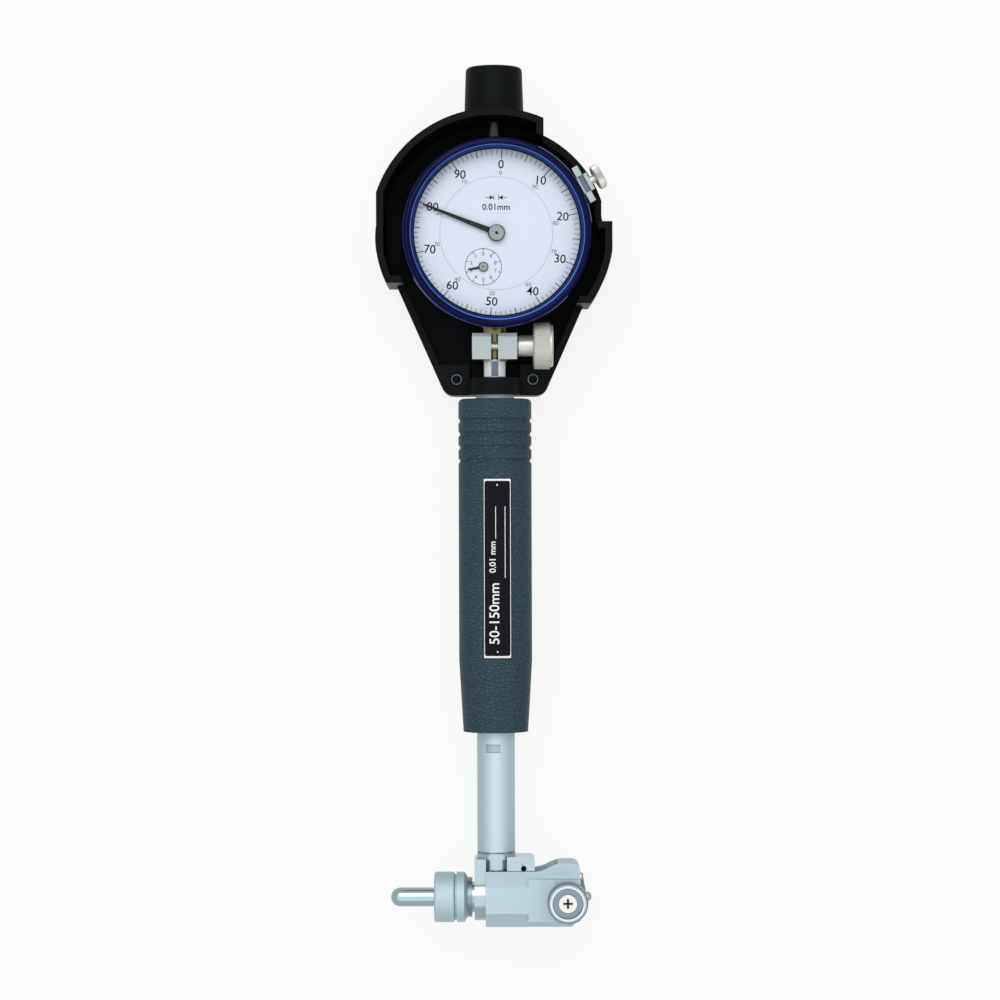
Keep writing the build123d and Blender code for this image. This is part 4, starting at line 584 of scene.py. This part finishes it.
class BOREGAUGE_OT_guard(bpy.types.Operator):
    """Finishes the moulded guard, its base and its screws"""

    bl_idname = "boregauge.guard"
    bl_label = "Guard"

    def execute(self, context):
        paint = context.scene.gauge_colours
        abs_plastic = moulded_plastic("guard_abs", paint.guard, grit=0.22, bump=0.22, rough=0.4)
        give(["guard_shell", "guard_base"], abs_plastic)
        blackened = turned_metal(
            "blackened_screw_steel", paint.screw, rough=0.32, line=0.2, bump=0.1, axis="Z"
        )
        give(["flange_screw", "cover_screws"], blackened)

        # The guard's two screws: a chamfered head with a socket, and a paler ring of painted highlight
        # on its rim
        low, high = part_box("guard_screws")
        tip, top = low.z / MM, high.z / MM
        head_r = 1.7
        rim_r = 1.35
        rim_wide = 0.24
        steps = 36
        screws = bmesh.new()
        rims = bmesh.new()
        for side in (-1, 1):
            place = Matrix.Translation((side * (high.x - head_r * MM), (low.y + high.y) / 2, 0))
            spin_profile(
                screws, place,
                [(tip, 0), (tip, 1.0), (top - 0.9, 1.0), (top - 0.9, head_r), (top - 0.1, head_r),
                 (top, head_r - 0.1), (top, 1.15), (top - 0.3, 1.05), (top - 0.3, 0.6),
                 (top - 0.7, 0.5), (top - 0.7, 0)],
                steps,
            )
            above = place @ Matrix.Translation((0, 0, high.z + INK))
            add_ring_line(rims, above, rim_r * MM, rim_wide * MM, steps)
        piece = add_piece("guard_screws_turned", screws, blackened, "gauge")
        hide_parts("guard_screws")
        # The paler steel of the rims is a painted highlight
        worn = turned_metal("screw_rim_painted_highlight", paint.worn, rough=0.3, line=0.2, bump=0.1, axis="Z")
        add_piece("guard_screw_rim_highlights", rims, worn, "gauge")
        return {"FINISHED"}


class BOREGAUGE_OT_indicator(bpy.types.Operator):
    """Finishes the indicator's case, bezel, crystal, dials, stem and spindle"""

    bl_idname = "boregauge.indicator"
    bl_label = "Indicator"

    def execute(self, context):
        paint = context.scene.gauge_colours
        give(["indicator_case", "back_cover"], painted_metal("case_enamel", paint.guard, rough=0.4))
        give(["bezel"], anodised_aluminium("bezel_blue_anodised", paint.bezel, rough=0.22))
        # Rings of painted highlight, in paler dyes than the bezel, laid on the bezel's turned slope, on
        # its corner where the slope meets the crown, and on its outer edge. Their sections are points of
        # height above the bezel's top and radius.
        top = max(corner.z for corner in corners_from(FACE, "bezel")) / MM
        rings = {
            "bezel_slope": (
                paint.bezel_slope, 0.3,
                [(-1.19, 24.9), (-0.38, 25.78), (-0.45, 25.9), (-1.35, 24.95), (-1.19, 24.9)],
            ),
            "bezel_line": (
                paint.bezel_line, 0.2,
                [(-0.36, 25.72), (-0.33, 25.98), (-0.5, 25.98), (-0.5, 25.72), (-0.36, 25.72)],
            ),
            "bezel_edge": (
                paint.bezel_edge, 0.25,
                [(-1.5, 28.27), (-1.11, 28.22), (-0.79, 28.09), (-0.53, 27.92), (-0.7, 27.8),
                 (-1.5, 27.9), (-1.5, 28.27)],
            ),
        }
        for name, (shade, rough, profile) in rings.items():
            ring = bmesh.new()
            spin_profile(ring, FACE, [(top + above, radius) for above, radius in profile], 144)
            dyed = anodised_aluminium(name + "_anodised", shade, rough)
            add_piece(name, ring, dyed, "bezel")
        give(["crystal"], clear_acrylic("crystal_acrylic"))
        give(["scale_ring", "inner_dial"], painted_metal("dial_enamel", paint.dial, rough=0.55))
        dark = painted_metal("pointer_enamel", paint.pointer, rough=0.45, shine=0.1)
        give(["pointer", "counter_pointer"], dark)
        give(["spindle_cap"], painted_metal("cap_gloss_black", paint.cap_black, rough=0.16, bump=0.0))
        give(["stem", "spindle"], turned_metal("stem_hard_chrome", paint.brass, rough=0.2, bump=0.15))
        return {"FINISHED"}


class BOREGAUGE_OT_turning_scale(bpy.types.Operator):
    """Prints the hundred ticks and the numbers of the scale that turns with the bezel"""

    bl_idname = "boregauge.turning_scale"
    bl_label = "Turning scale"

    def execute(self, context):
        sizes = context.scene.gauge_dial
        paint = context.scene.gauge_colours
        dark = bmesh.new()
        pale = bmesh.new()
        for i in range(100):
            angle = pi / 2 + sizes.ring_turn - i * 2 * pi / 100
            five = i % 5 == 0
            long = sizes.tick_long
            if five:
                long = sizes.tick_ten_long if i % 10 == 0 else sizes.tick_five_long
            wide = sizes.tick_five_wide if five else sizes.tick_wide
            middle = sizes.tick_outer_r - long / 2
            place = on_dial(middle * cos(angle), middle * sin(angle), turn=angle)
            add_bar(dark if five else pale, place, long * MM, wide * MM)
        for i in range(10):
            angle = pi / 2 + sizes.ring_turn - i * 2 * pi / 10
            x, y = sizes.number_r * cos(angle), sizes.number_r * sin(angle)
            place = on_dial(x, y, turn=sizes.ring_turn)
            number_high = sizes.number_high * MM
            add_words(dark, str(i * 10), number_high, place, sizes.number_weight * MM)
            # The small numbers count the other way
            angle += radians(SMALL_NUMBER_SHIFTS.get(i * 10, 0.0))
            x, y = sizes.small_number_r * cos(angle), sizes.small_number_r * sin(angle)
            place = on_dial(x, y, turn=sizes.ring_turn)
            add_words(pale, str((10 - i) % 10 * 10), sizes.small_number_high * MM, place)
        ink = painted_metal("dial_ink", paint.ink, rough=0.5, shine=0.05)
        add_piece("scale_print", dark, ink, "bezel")
        pale_ink = painted_metal("dial_pale_ink", paint.pale_ink, rough=0.5, shine=0.05)
        add_piece("scale_small_print", pale, pale_ink, "bezel")
        return {"FINISHED"}


class BOREGAUGE_OT_fixed_dial(bpy.types.Operator):
    """Prints the unit, the arrows and the turn counter of the fixed inner dial"""

    bl_idname = "boregauge.fixed_dial"
    bl_label = "Fixed dial"

    def execute(self, context):
        sizes = context.scene.gauge_dial
        dark = bmesh.new()
        pale = bmesh.new()
        add_words(dark, "0.01mm", sizes.unit_high * MM, on_dial(0, sizes.unit_y), 0.035 * MM)
        line_wide = sizes.line_wide * MM
        arrow = 1.5 * MM
        for side in (-1, 1):
            # An arrow towards a short upright line, and the same mirrored
            shaft_x, head_x, stop_x = side * 2.5, side * 1.55, side * 0.75
            add_bar(dark, on_dial(shaft_x, sizes.arrows_y), arrow, line_wide)
            add_bar(dark, on_dial(stop_x, sizes.arrows_y), 1.25 * line_wide, arrow)
            head = on_dial(head_x, sizes.arrows_y, turn=pi / 2 if side > 0 else -pi / 2)
            bmesh.ops.create_circle(dark, cap_ends=True, segments=3, radius=arrow / 2, matrix=head)
        middle = FACE.inverted() @ joint_place("counter_pointer_turn").translation / MM
        add_ring_line(dark, on_dial(middle.x, middle.y), sizes.counter_r * MM, line_wide)
        tick_long = 0.8
        tick_wide = 0.17
        tick_r = sizes.counter_r - tick_long / 2
        number_r = sizes.counter_r - 1.55
        for i in range(10):
            angle = pi / 2 + i * 2 * pi / 10
            x, y = middle.x + tick_r * cos(angle), middle.y + tick_r * sin(angle)
            add_bar(dark, on_dial(x, y, turn=angle), tick_long * MM, tick_wide * MM)
            x, y = middle.x + number_r * cos(angle), middle.y + number_r * sin(angle)
            add_words(pale, str(i), sizes.counter_number_high * MM, on_dial(x, y), 0.015 * MM)
        add_piece("inner_print", dark, bpy.data.materials["dial_ink"], "gauge")
        add_piece("inner_small_print", pale, bpy.data.materials["dial_pale_ink"], "gauge")

        # The gap between the fixed dial and the turning scale is covered by a faint circle of painted
        # shade
        circle = bmesh.new()
        add_ring_line(circle, on_dial(0, 0), sizes.circle_r * MM, 1.5 * line_wide)
        faint = painted_metal("dial_gap_painted_shade", context.scene.gauge_colours.ring_ink, rough=0.5)
        add_piece("dial_gap_shade_circle", circle, faint, "gauge")
        return {"FINISHED"}


class BOREGAUGE_OT_pointer_caps(bpy.types.Operator):
    """Adds the brushed caps on the hubs of the two pointers, each with its arbor's dark end"""

    bl_idname = "boregauge.pointer_caps"
    bl_label = "Pointer caps"

    def execute(self, context):
        paint = context.scene.gauge_colours
        brushed = turned_metal("pointer_cap_brushed_steel", paint.cap, rough=0.34, line=0.12, bump=0.2)
        dark = bpy.data.materials["pointer_enamel"]
        cap_thick = 0.14
        rim_thick = 0.08
        arbor_out = 0.05
        for body, radius in (("pointer", 2.25), ("counter_pointer", 1.25)):
            middle = FACE.inverted() @ joint_place(body + "_turn").translation
            place = FACE @ Matrix.Translation((middle.x, middle.y, 0))
            hub = max(corner.z for corner in corners_from(FACE, body)) / MM
            rim, top = hub + rim_thick, hub + cap_thick
            cap = bmesh.new()
            spin_profile(
                cap, place,
                [(hub, 0), (hub, radius), (rim, radius), (top, radius * 11 / 12), (top, 0)], 48,
            )
            add_piece(body + "_cap", cap, brushed, body)
            dot = bmesh.new()
            end = top + arbor_out
            spin_profile(
                dot, place, [(top, 0), (top, radius * 0.22), (end, radius * 0.2), (end, 0)], 20
            )
            add_piece(body + "_arbor_end", dot, dark, body)

        # The main pointer's painted face, a flat blade that narrows to the tip
        corners = corners_from(FACE, "pointer")
        reach = max(corner.to_2d().length for corner in corners)
        # The tip's two corners lie equally far out, and the blade runs to the left one
        ends = [corner for corner in corners if corner.to_2d().length > reach - INK]
        tip = min(ends, key=lambda corner: corner.x)
        top = max(corner.z for corner in corners if corner.to_2d().length > reach / 2)
        start = 2.3 * MM
        root_wide = 1.72 * MM
        tip_share = 0.24
        place = FACE @ Matrix.Rotation(atan2(tip.y, tip.x), 4, "Z") @ Matrix.Translation(
            ((start + reach) / 2, 0, top + INK)
        )
        blade = bmesh.new()
        add_bar(blade, place, reach - start, root_wide)
        point = [v for v in blade.verts if (place.inverted() @ v.co).x > 0]
        bmesh.ops.scale(blade, vec=(1, tip_share, 1), space=place.inverted(), verts=point)
        add_piece("pointer_blade", blade, dark, "pointer")
        return {"FINISHED"}


class BOREGAUGE_OT_clamps(bpy.types.Operator):
    """Finishes the stem clamp and the bezel clamp, and cuts the knurls of their two knobs"""

    bl_idname = "boregauge.clamps"
    bl_label = "Clamps and knobs"

    def execute(self, context):
        paint = context.scene.gauge_colours
        sizes = context.scene.gauge_knurls
        nickel = turned_metal("clamp_satin_nickel", paint.nickel, rough=0.3, line=0.15, bump=0.12)
        # The knurls' plating is dull in its fine pits, so part of its light is scattered
        bright = turned_metal(
            "knob_bright_nickel", paint.bright_nickel, rough=0.36, bump=0.08, axis="X", metallic=0.55
        )
        give(["stem_clamp", "bezel_clamp"], nickel)

        # Painted highlights: pale, dull patches laid on the stem clamp's bevels and on the sides of its
        # sleeve
        blasted = bmesh.new()
        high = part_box("stem_clamp")[1]
        jaw_x = 3.87 * MM
        jaw_wide = 5.6 * MM
        jaw_long = 7.7 * MM
        sleeve_r = 3.5 * MM + INK
        sleeve_y = -40.0 * MM
        sleeve_long = 4.4 * MM
        for side in (-1, 1):
            for y, bevel, lean in ((high.y, 1.1 * MM, -1), (high.y - jaw_long, 2.4 * MM, 1)):
                middle = (side * jaw_x, y + lean * bevel / 2, high.z - bevel / 2)
                place = Matrix.Translation(middle) @ Matrix.Rotation(lean * pi / 4, 4, "X")
                lifted = place @ Matrix.Translation((0, 0, INK))
                add_bar(blasted, lifted, jaw_wide, bevel * 2 ** 0.5)
            wrapped_patch(blasted, sleeve_r, side * 2.6 * MM, sleeve_y, 2.8 * MM, sleeve_long)
        # The bezel clamp's block, in line with its screw, has a trough beside its pale land, and a bar
        # of painted shade lies in the trough
        hollows = bmesh.new()
        trough_r = 29.9 * MM
        trough_floor = 12.2 * MM
        outward = FACE.to_3x3().inverted() @ joint_place("bezel_clamp_screw_turn").col[2].xyz
        trough = FACE @ Matrix.Rotation(atan2(outward.y, outward.x), 4, "Z") @ Matrix.Translation(
            (trough_r, 0, trough_floor + INK)
        )
        add_bar(hollows, trough, 1.7 * MM, 5.3 * MM)
        # A strip of painted dark reflection down the middle of the stem clamp's sleeve
        wrapped_patch(hollows, sleeve_r, 0, sleeve_y, 1.9 * MM, sleeve_long)
        dull = painted_metal("clamp_painted_highlight", paint.blasted, rough=0.5)
        add_piece("clamp_highlight_patches", blasted, dull, "gauge")
        dark = turned_metal("clamp_shaded_nickel", paint.shade, rough=0.4, line=0.15, bump=0.1)
        add_piece("clamp_hollow_shades", hollows, dark, "gauge")

        # Stem clamp knob: a diamond knurl, whose peaks stand on every second point of a grid
        place = joint_place("stem_clamp_knob_turn")
        low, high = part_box("clamp_knob")
        start, end = low.x / MM, high.x / MM
        radius = (high.z - low.z) / 2 / MM
        shank_r = 1.15
        collar_r = 3.15
        collar_start = end - 10.7
        back = end - 6.0
        front_r = 6.4
        knurl_start = end - 5.5
        knurl_end = end - 1.0
        rows = sizes.diamond_rows
        pitch = (knurl_end - knurl_start) / rows
        knurl = [(knurl_start + i * pitch, radius) for i in range(rows + 1)]
        knob = bmesh.new()
        spin_profile(
            knob, place,
            [(start, 0), (start, shank_r), (collar_start, shank_r), (collar_start, collar_r - 0.5),
             (collar_start + 0.5, collar_r), (back, collar_r), (back, 6.3)] + knurl
            + [(knurl_end, front_r), (end - 0.5, front_r), (end, front_r - 0.5), (end, 0)],
            sizes.diamond_steps,
        )
        deep = press_knurl(
            knob, place, radius, sizes.diamond_steps, sizes.diamond_depth,
            lambda along: round((along - knurl_start) / pitch),
        )
        skin = [f for f in knob.faces if len(f.verts) == 4 and len(deep & set(f.verts)) == 2]
        first = [f for f in skin if f.verts[0] in deep]
        other = [f for f in skin if f.verts[0] not in deep]
        bmesh.ops.triangulate(knob, faces=first, quad_method="FIXED")
        bmesh.ops.triangulate(knob, faces=other, quad_method="ALTERNATE")
        piece = add_piece("clamp_knob_knurled", knob, bright, "stem_clamp_knob")
        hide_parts("clamp_knob")

        # Bezel clamp knob: straight teeth round a thin disc
        place = joint_place("bezel_clamp_screw_turn")
        corners = corners_from(place, "bezel_screw")
        start = min(corner.z for corner in corners) / MM
        end = max(corner.z for corner in corners) / MM
        radius = max(corner.to_2d().length for corner in corners) / MM
        shank_r = 1.25
        back = end - 2.3
        edge = 0.45
        steps = 2 * sizes.teeth
        disc = bmesh.new()
        spin_profile(
            disc, place,
            [(start, 0), (start, shank_r), (back, shank_r), (back, radius - edge),
             (back + 0.3, radius), (end - 0.35, radius), (end, radius - edge), (end, 1.5),
             (end - 0.25, 1.2), (end - 0.25, 0)],
            steps,
        )
        press_knurl(disc, place, radius, steps, sizes.tooth_depth, lambda along: 0)
        piece = add_piece("bezel_screw_knurled", disc, bright, "bezel_clamp_screw")
        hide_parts("bezel_screw")
        return {"FINISHED"}


class BOREGAUGE_OT_grip(bpy.types.Operator):
    """Finishes the grip, and prints the label plate with its range in plain numbers"""

    bl_idname = "boregauge.grip"
    bl_label = "Grip and label"

    def execute(self, context):
        paint = context.scene.gauge_colours
        sizes = context.scene.gauge_label
        give(["grip"], grained_plastic("grip_grained_plastic", paint.grip))
        white = painted_metal("label_white_enamel", paint.print_white, rough=0.4)
        give(["label_plate"], white)
        low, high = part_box("label_plate")
        middle_y = (low.y + high.y) / 2
        long = high.y - low.y
        turned = Matrix.Translation((0, middle_y, AXIS_Z)) @ Matrix.Rotation(LABEL_TURN, 4, "Y")
        corners = corners_from(turned, "label_plate")
        top = max(corner.z for corner in corners)
        wide = 2 * max(corner.x for corner in corners)

        def on_label(x, y, lift):
            return turned @ Matrix.Translation((x * MM, y * MM, top + lift * INK))

        field_long = long - 2 * sizes.frame * MM
        field = bmesh.new()
        bmesh.ops.create_grid(
            field, x_segments=1, y_segments=1, size=0.5,
            matrix=on_label(0, 0, 1) @ Matrix.Diagonal((sizes.field_wide * MM, field_long, 1, 1)),
        )
        bmesh.ops.bevel(
            field, geom=field.verts[:], offset=0.7 * MM, offset_type="OFFSET", affect="VERTICES",
            segments=5, profile=0.5, material=-1,
        )
        # A thin dark line round the plate's own edge: painted shade where the plate meets its recess
        line_wide = sizes.line_wide * MM
        edge_x = (wide - line_wide) / 2 / MM
        edge_y = (long - line_wide) / 2 / MM
        for side in (-1, 1):
            add_bar(field, on_label(side * edge_x, 0, 1), line_wide, long)
            add_bar(field, on_label(0, side * edge_y, 1), wide, line_wide)
        black = painted_metal("label_black_enamel", paint.label, rough=0.3, shine=0.06)
        add_piece("label_field", field, black, "gauge")

        # Print that reads from the bottom of the plate upwards: the range, the smallest step, and
        # two lines to write on
        text = bmesh.new()
        up = Matrix.Rotation(pi / 2, 4, "Z")
        for words, digits, x, y in (
            ("50-150mm", sizes.range_high, -0.8, -13.4),
            ("0.01 mm", sizes.small_high, -1.35, 3.4),
        ):
            add_words(text, words, digits * MM, on_label(x, y, 2) @ up, sizes.weight * MM)
        for line_long, x, y in ((9.6, -0.5, 13.6), (21.2, 2.3, 7.8)):
            add_bar(text, on_label(x, y, 2) @ up, line_long * MM, line_wide)
        # A small white dot near each end
        dot_y = field_long / 2 / MM - 1.2
        for side in (-1, 1):
            bmesh.ops.create_circle(
                text, cap_ends=True, segments=16, radius=0.25 * MM,
                matrix=on_label(0, side * dot_y, 2),
            )
        add_piece("label_print", text, white, "gauge")
        return {"FINISHED"}


class BOREGAUGE_OT_tube(bpy.types.Operator):
    """Finishes the tube, and lays on it a small flat of painted shade, darker along its two edges"""

    bl_idname = "boregauge.tube"
    bl_label = "Tube"

    def execute(self, context):
        paint = context.scene.gauge_colours
        give(["tube"], turned_metal("tube_satin_chrome", paint.satin, rough=0.6, line=0.12, bump=0.12))
        low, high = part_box("tube")
        radius = (high.x - low.x) / 2 + INK
        # The small flat lies just below the grip, between its two lines. The flat and its two lines are
        # painted shade on the tube.
        flat_x = -0.9 * MM
        flat_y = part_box("grip")[0].y - 4.9 * MM
        line_away = 1.1 * MM
        lines = bmesh.new()
        for y in (flat_y + line_away, flat_y - line_away):
            wrapped_patch(lines, radius, flat_x, y, 4.8 * MM, 0.25 * MM)
        flat = bmesh.new()
        wrapped_patch(flat, radius - INK / 2, flat_x, flat_y, 4.6 * MM, 2.1 * MM)
        flat_shade = turned_metal("flat_patch_painted_shade", paint.flat, rough=0.5, line=0.2, bump=0.1)
        add_piece("tube_flat", flat, flat_shade, "gauge")
        shade = painted_metal("flat_edge_painted_shade", paint.engraving, rough=0.6)
        add_piece("tube_flat_edge_shades", lines, shade, "gauge")
        # Where the tube meets the head, a dark joint shows
        end = bmesh.new()
        wrapped_patch(end, radius, 0, low.y + 0.22 * MM, 2.8 * radius, 0.4 * MM)
        joint_line = painted_metal("tube_joint_shade", paint.shade, rough=0.6)
        add_piece("tube_end_line", end, joint_line, "gauge")
        return {"FINISHED"}


class BOREGAUGE_OT_head(bpy.types.Operator):
    """Finishes the measuring head: body, guide, rollers, contact tip, nut and anvil"""

    bl_idname = "boregauge.head"
    bl_label = "Measuring head"

    def execute(self, context):
        paint = context.scene.gauge_colours
        satin = turned_metal("head_satin_chrome", paint.satin, rough=0.7, line=0.15, bump=0.12, axis="X")
        give(["guide_block", "contact_bush", "lock_nut", "lock_collar"], satin)
        ground = turned_metal("ground_tool_steel", paint.steel, rough=0.2, bump=0.15, axis="X")
        give(["head_body"], ground)
        polished = turned_metal("polished_tool_steel", paint.steel, rough=0.12, line=0.08, axis="X")
        give(["anvil", "contact_plunger"], polished)
        # Painted shade: the rollers' faces and the spacer washer are given a darker steel
        hard = turned_metal("roller_steel_painted_shade", paint.roller, rough=0.3, axis="Z")
        give(["front_roller", "rear_roller", "spacer_washer"], hard)

        # Each roller has a polished rim round its recessed face, drawn in paler steel as a painted
        # highlight
        rim_highlight_metal = turned_metal("roller_rim_painted_highlight", paint.chrome, rough=0.15, axis="Z")
        for end in ("front", "rear"):
            place = joint_place(end + "_roller_spin")
            low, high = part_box(end + "_roller")
            face = (high.z - place.translation.z if end == "front" else place.translation.z - low.z) / MM
            if end == "rear":
                place = place @ Matrix.Rotation(pi, 4, "X")
            recess_r = 4.6
            proud = face + INK / MM
            rim = bmesh.new()
            spin_profile(
                rim, place,
                [(proud, recess_r), (proud, 5.12), (face - 0.45, 5.59), (face - 0.6, 5.4),
                 (face - 0.1, recess_r), (proud, recess_r)],
                72,
            )
            add_piece(end + "_roller_rim_highlight", rim, rim_highlight_metal, end + "_roller")
        screw_metal = turned_metal("screw_nickel", paint.bright_nickel, rough=0.26, axis="Z")
        give(["roller_screws"], screw_metal)
        give(
            ["bell_crank", "crank_pin", "push_rod", "contact_spring", "guide_spring", "wire_clip"],
            turned_metal("oiled_spring_steel", paint.spring, rough=0.3),
        )

        # Painted shade lies dark in the crosses of the roller screws
        crosses = bmesh.new()
        cross_deep = 0.7 * MM - INK
        cross_long = 2.9 * MM
        cross_wide = 0.62 * MM
        middle = joint_place("front_roller_spin").translation
        low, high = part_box("roller_screws")
        for floor, turn in ((high.z - cross_deep, 0.0), (low.z + cross_deep, pi)):
            place = Matrix.Translation((middle.x, middle.y, floor)) @ Matrix.Rotation(turn, 4, "X")
            add_bar(crosses, place, cross_long, cross_wide)
            add_bar(crosses, place, cross_wide, cross_long)
        cross_shade = painted_metal("screw_cross_painted_shade", paint.pointer, rough=0.5)
        add_piece("roller_screw_cross_shades", crosses, cross_shade, "guide")
        return {"FINISHED"}


class BOREGAUGE_OT_stage(bpy.types.Operator):
    """Sets the pale floor, the soft light and the camera that looks straight down"""

    bl_idname = "boregauge.stage"
    bl_label = "Stage"

    def execute(self, context):
        scene = context.scene
        sizes = scene.gauge_stage

        # Floor: white to the camera and in the metal, with a faint shadow under the gauge, and
        # darker to the light that bounces off it
        floor = bmesh.new()
        bmesh.ops.create_grid(floor, x_segments=1, y_segments=1, size=2.0)
        mesh = bpy.data.meshes.new("floor")
        floor.to_mesh(mesh)
        floor.free()
        material = new_material("floor_white_paper")
        seen = seen_rays(material)
        tone = add_node(
            material, "ShaderNodeMapRange", {"Value": seen, "To Min": 0.35, "To Max": 0.98}
        )
        paper = add_node(material, "ShaderNodeBsdfDiffuse", {"Color": tone.outputs[0]})
        glow = add_node(material, "ShaderNodeEmission", {"Strength": 1.0})
        share = add_node(
            material, "ShaderNodeMath", {0: seen, 1: sizes.floor_glow}, operation="MULTIPLY"
        )
        mix = add_node(
            material, "ShaderNodeMixShader",
            {"Fac": share.outputs[0], 1: paper.outputs[0], 2: glow.outputs[0]},
        )
        mesh.materials.append(finish_surface(material, mix))
        stand = bpy.data.objects.new("floor", mesh)
        scene.collection.objects.link(stand)

        # Plain surroundings: white to the camera and in the metal, softer as a light
        world = bpy.data.worlds.new("surroundings")
        world.use_nodes = True
        world.node_tree.nodes.clear()
        bright = add_node(
            world, "ShaderNodeMath", {0: seen_rays(world), 1: sizes.world_strength},
            operation="MAXIMUM",
        )
        sky = add_node(
            world, "ShaderNodeBackground", {"Color": (1.0, 1.0, 1.0, 1.0), "Strength": bright.outputs[0]}
        )
        add_node(world, "ShaderNodeOutputWorld", {"Surface": sky.outputs[0]})
        scene.world = world

        # Two large soft lamps. The key stands beyond the cap's end and lights the edges that face
        # it. The one overhead gives tubes and flats a bright middle.
        middle = Vector((0, -0.08, 0))
        for name, power, wide, place in (
            ("key", sizes.key_power, 1.4, (-0.17, 0.84, 1.43)),
            ("overhead", sizes.overhead_power, 2.6, (0, -0.08, 1.35)),
        ):
            light = bpy.data.lights.new(name, "AREA")
            light.shape = "DISK"
            light.size = wide
            light.energy = power
            lamp = bpy.data.objects.new(name, light)
            lamp.location = place
            lamp.rotation_euler = (middle - lamp.location).to_track_quat("-Z", "Y").to_euler()
            scene.collection.objects.link(lamp)

        # The camera stands over the gauge's middle and is turned by a hair, as in the picture
        camera_x, camera_y = 1.457 * MM, -79.2 * MM
        roll = radians(-0.183)
        camera = bpy.data.objects.new("camera", bpy.data.cameras.new("camera"))
        camera.data.lens = sizes.lens
        camera.data.sensor_width = 36.0
        camera.data.clip_start = 0.01
        camera.location = (camera_x, camera_y, sizes.camera_height)
        camera.rotation_euler = (0, 0, roll)
        scene.collection.objects.link(camera)
        scene.camera = camera
        scene.view_settings.view_transform = "Standard"
        return {"FINISHED"}


class BOREGAUGE_PT_panel(bpy.types.Panel):
    """Lists the sizes, the colours and the steps that dress the gauge"""

    bl_idname = "BOREGAUGE_PT_panel"
    bl_label = "Dial bore gauge"
    bl_space_type = "VIEW_3D"
    bl_region_type = "UI"
    bl_category = "Bore gauge"

    def draw(self, context):
        column = self.layout.column()
        for name in GROUPS:
            group = getattr(context.scene, name)
            for prop in group.bl_rna.properties:
                if prop.identifier not in ("name", "rna_type"):
                    column.prop(group, prop.identifier)
        for step in STEPS:
            column.operator(step.bl_idname)


GROUPS = {
    "gauge_dial": DialSizes,
    "gauge_knurls": KnurlSizes,
    "gauge_label": LabelSizes,
    "gauge_colours": FinishColours,
    "gauge_stage": StageSizes,
}
STEPS = (
    BOREGAUGE_OT_guard,
    BOREGAUGE_OT_indicator,
    BOREGAUGE_OT_turning_scale,
    BOREGAUGE_OT_fixed_dial,
    BOREGAUGE_OT_pointer_caps,
    BOREGAUGE_OT_clamps,
    BOREGAUGE_OT_grip,
    BOREGAUGE_OT_tube,
    BOREGAUGE_OT_head,
    BOREGAUGE_OT_stage,
)


def register():
    for name, group in GROUPS.items():
        bpy.utils.register_class(group)
        setattr(bpy.types.Scene, name, PointerProperty(type=group))
    for kind in (*STEPS, BOREGAUGE_PT_panel):
        bpy.utils.register_class(kind)


def unregister():
    for kind in (BOREGAUGE_PT_panel, *reversed(STEPS)):
        bpy.utils.unregister_class(kind)
    for name, group in GROUPS.items():
        delattr(bpy.types.Scene, name)
        bpy.utils.unregister_class(group)


def main():
    register()
    for step in STEPS:
        area, name = step.bl_idname.split(".")
        getattr(getattr(bpy.ops, area), name)()


if __name__ == "__main__":
    main()
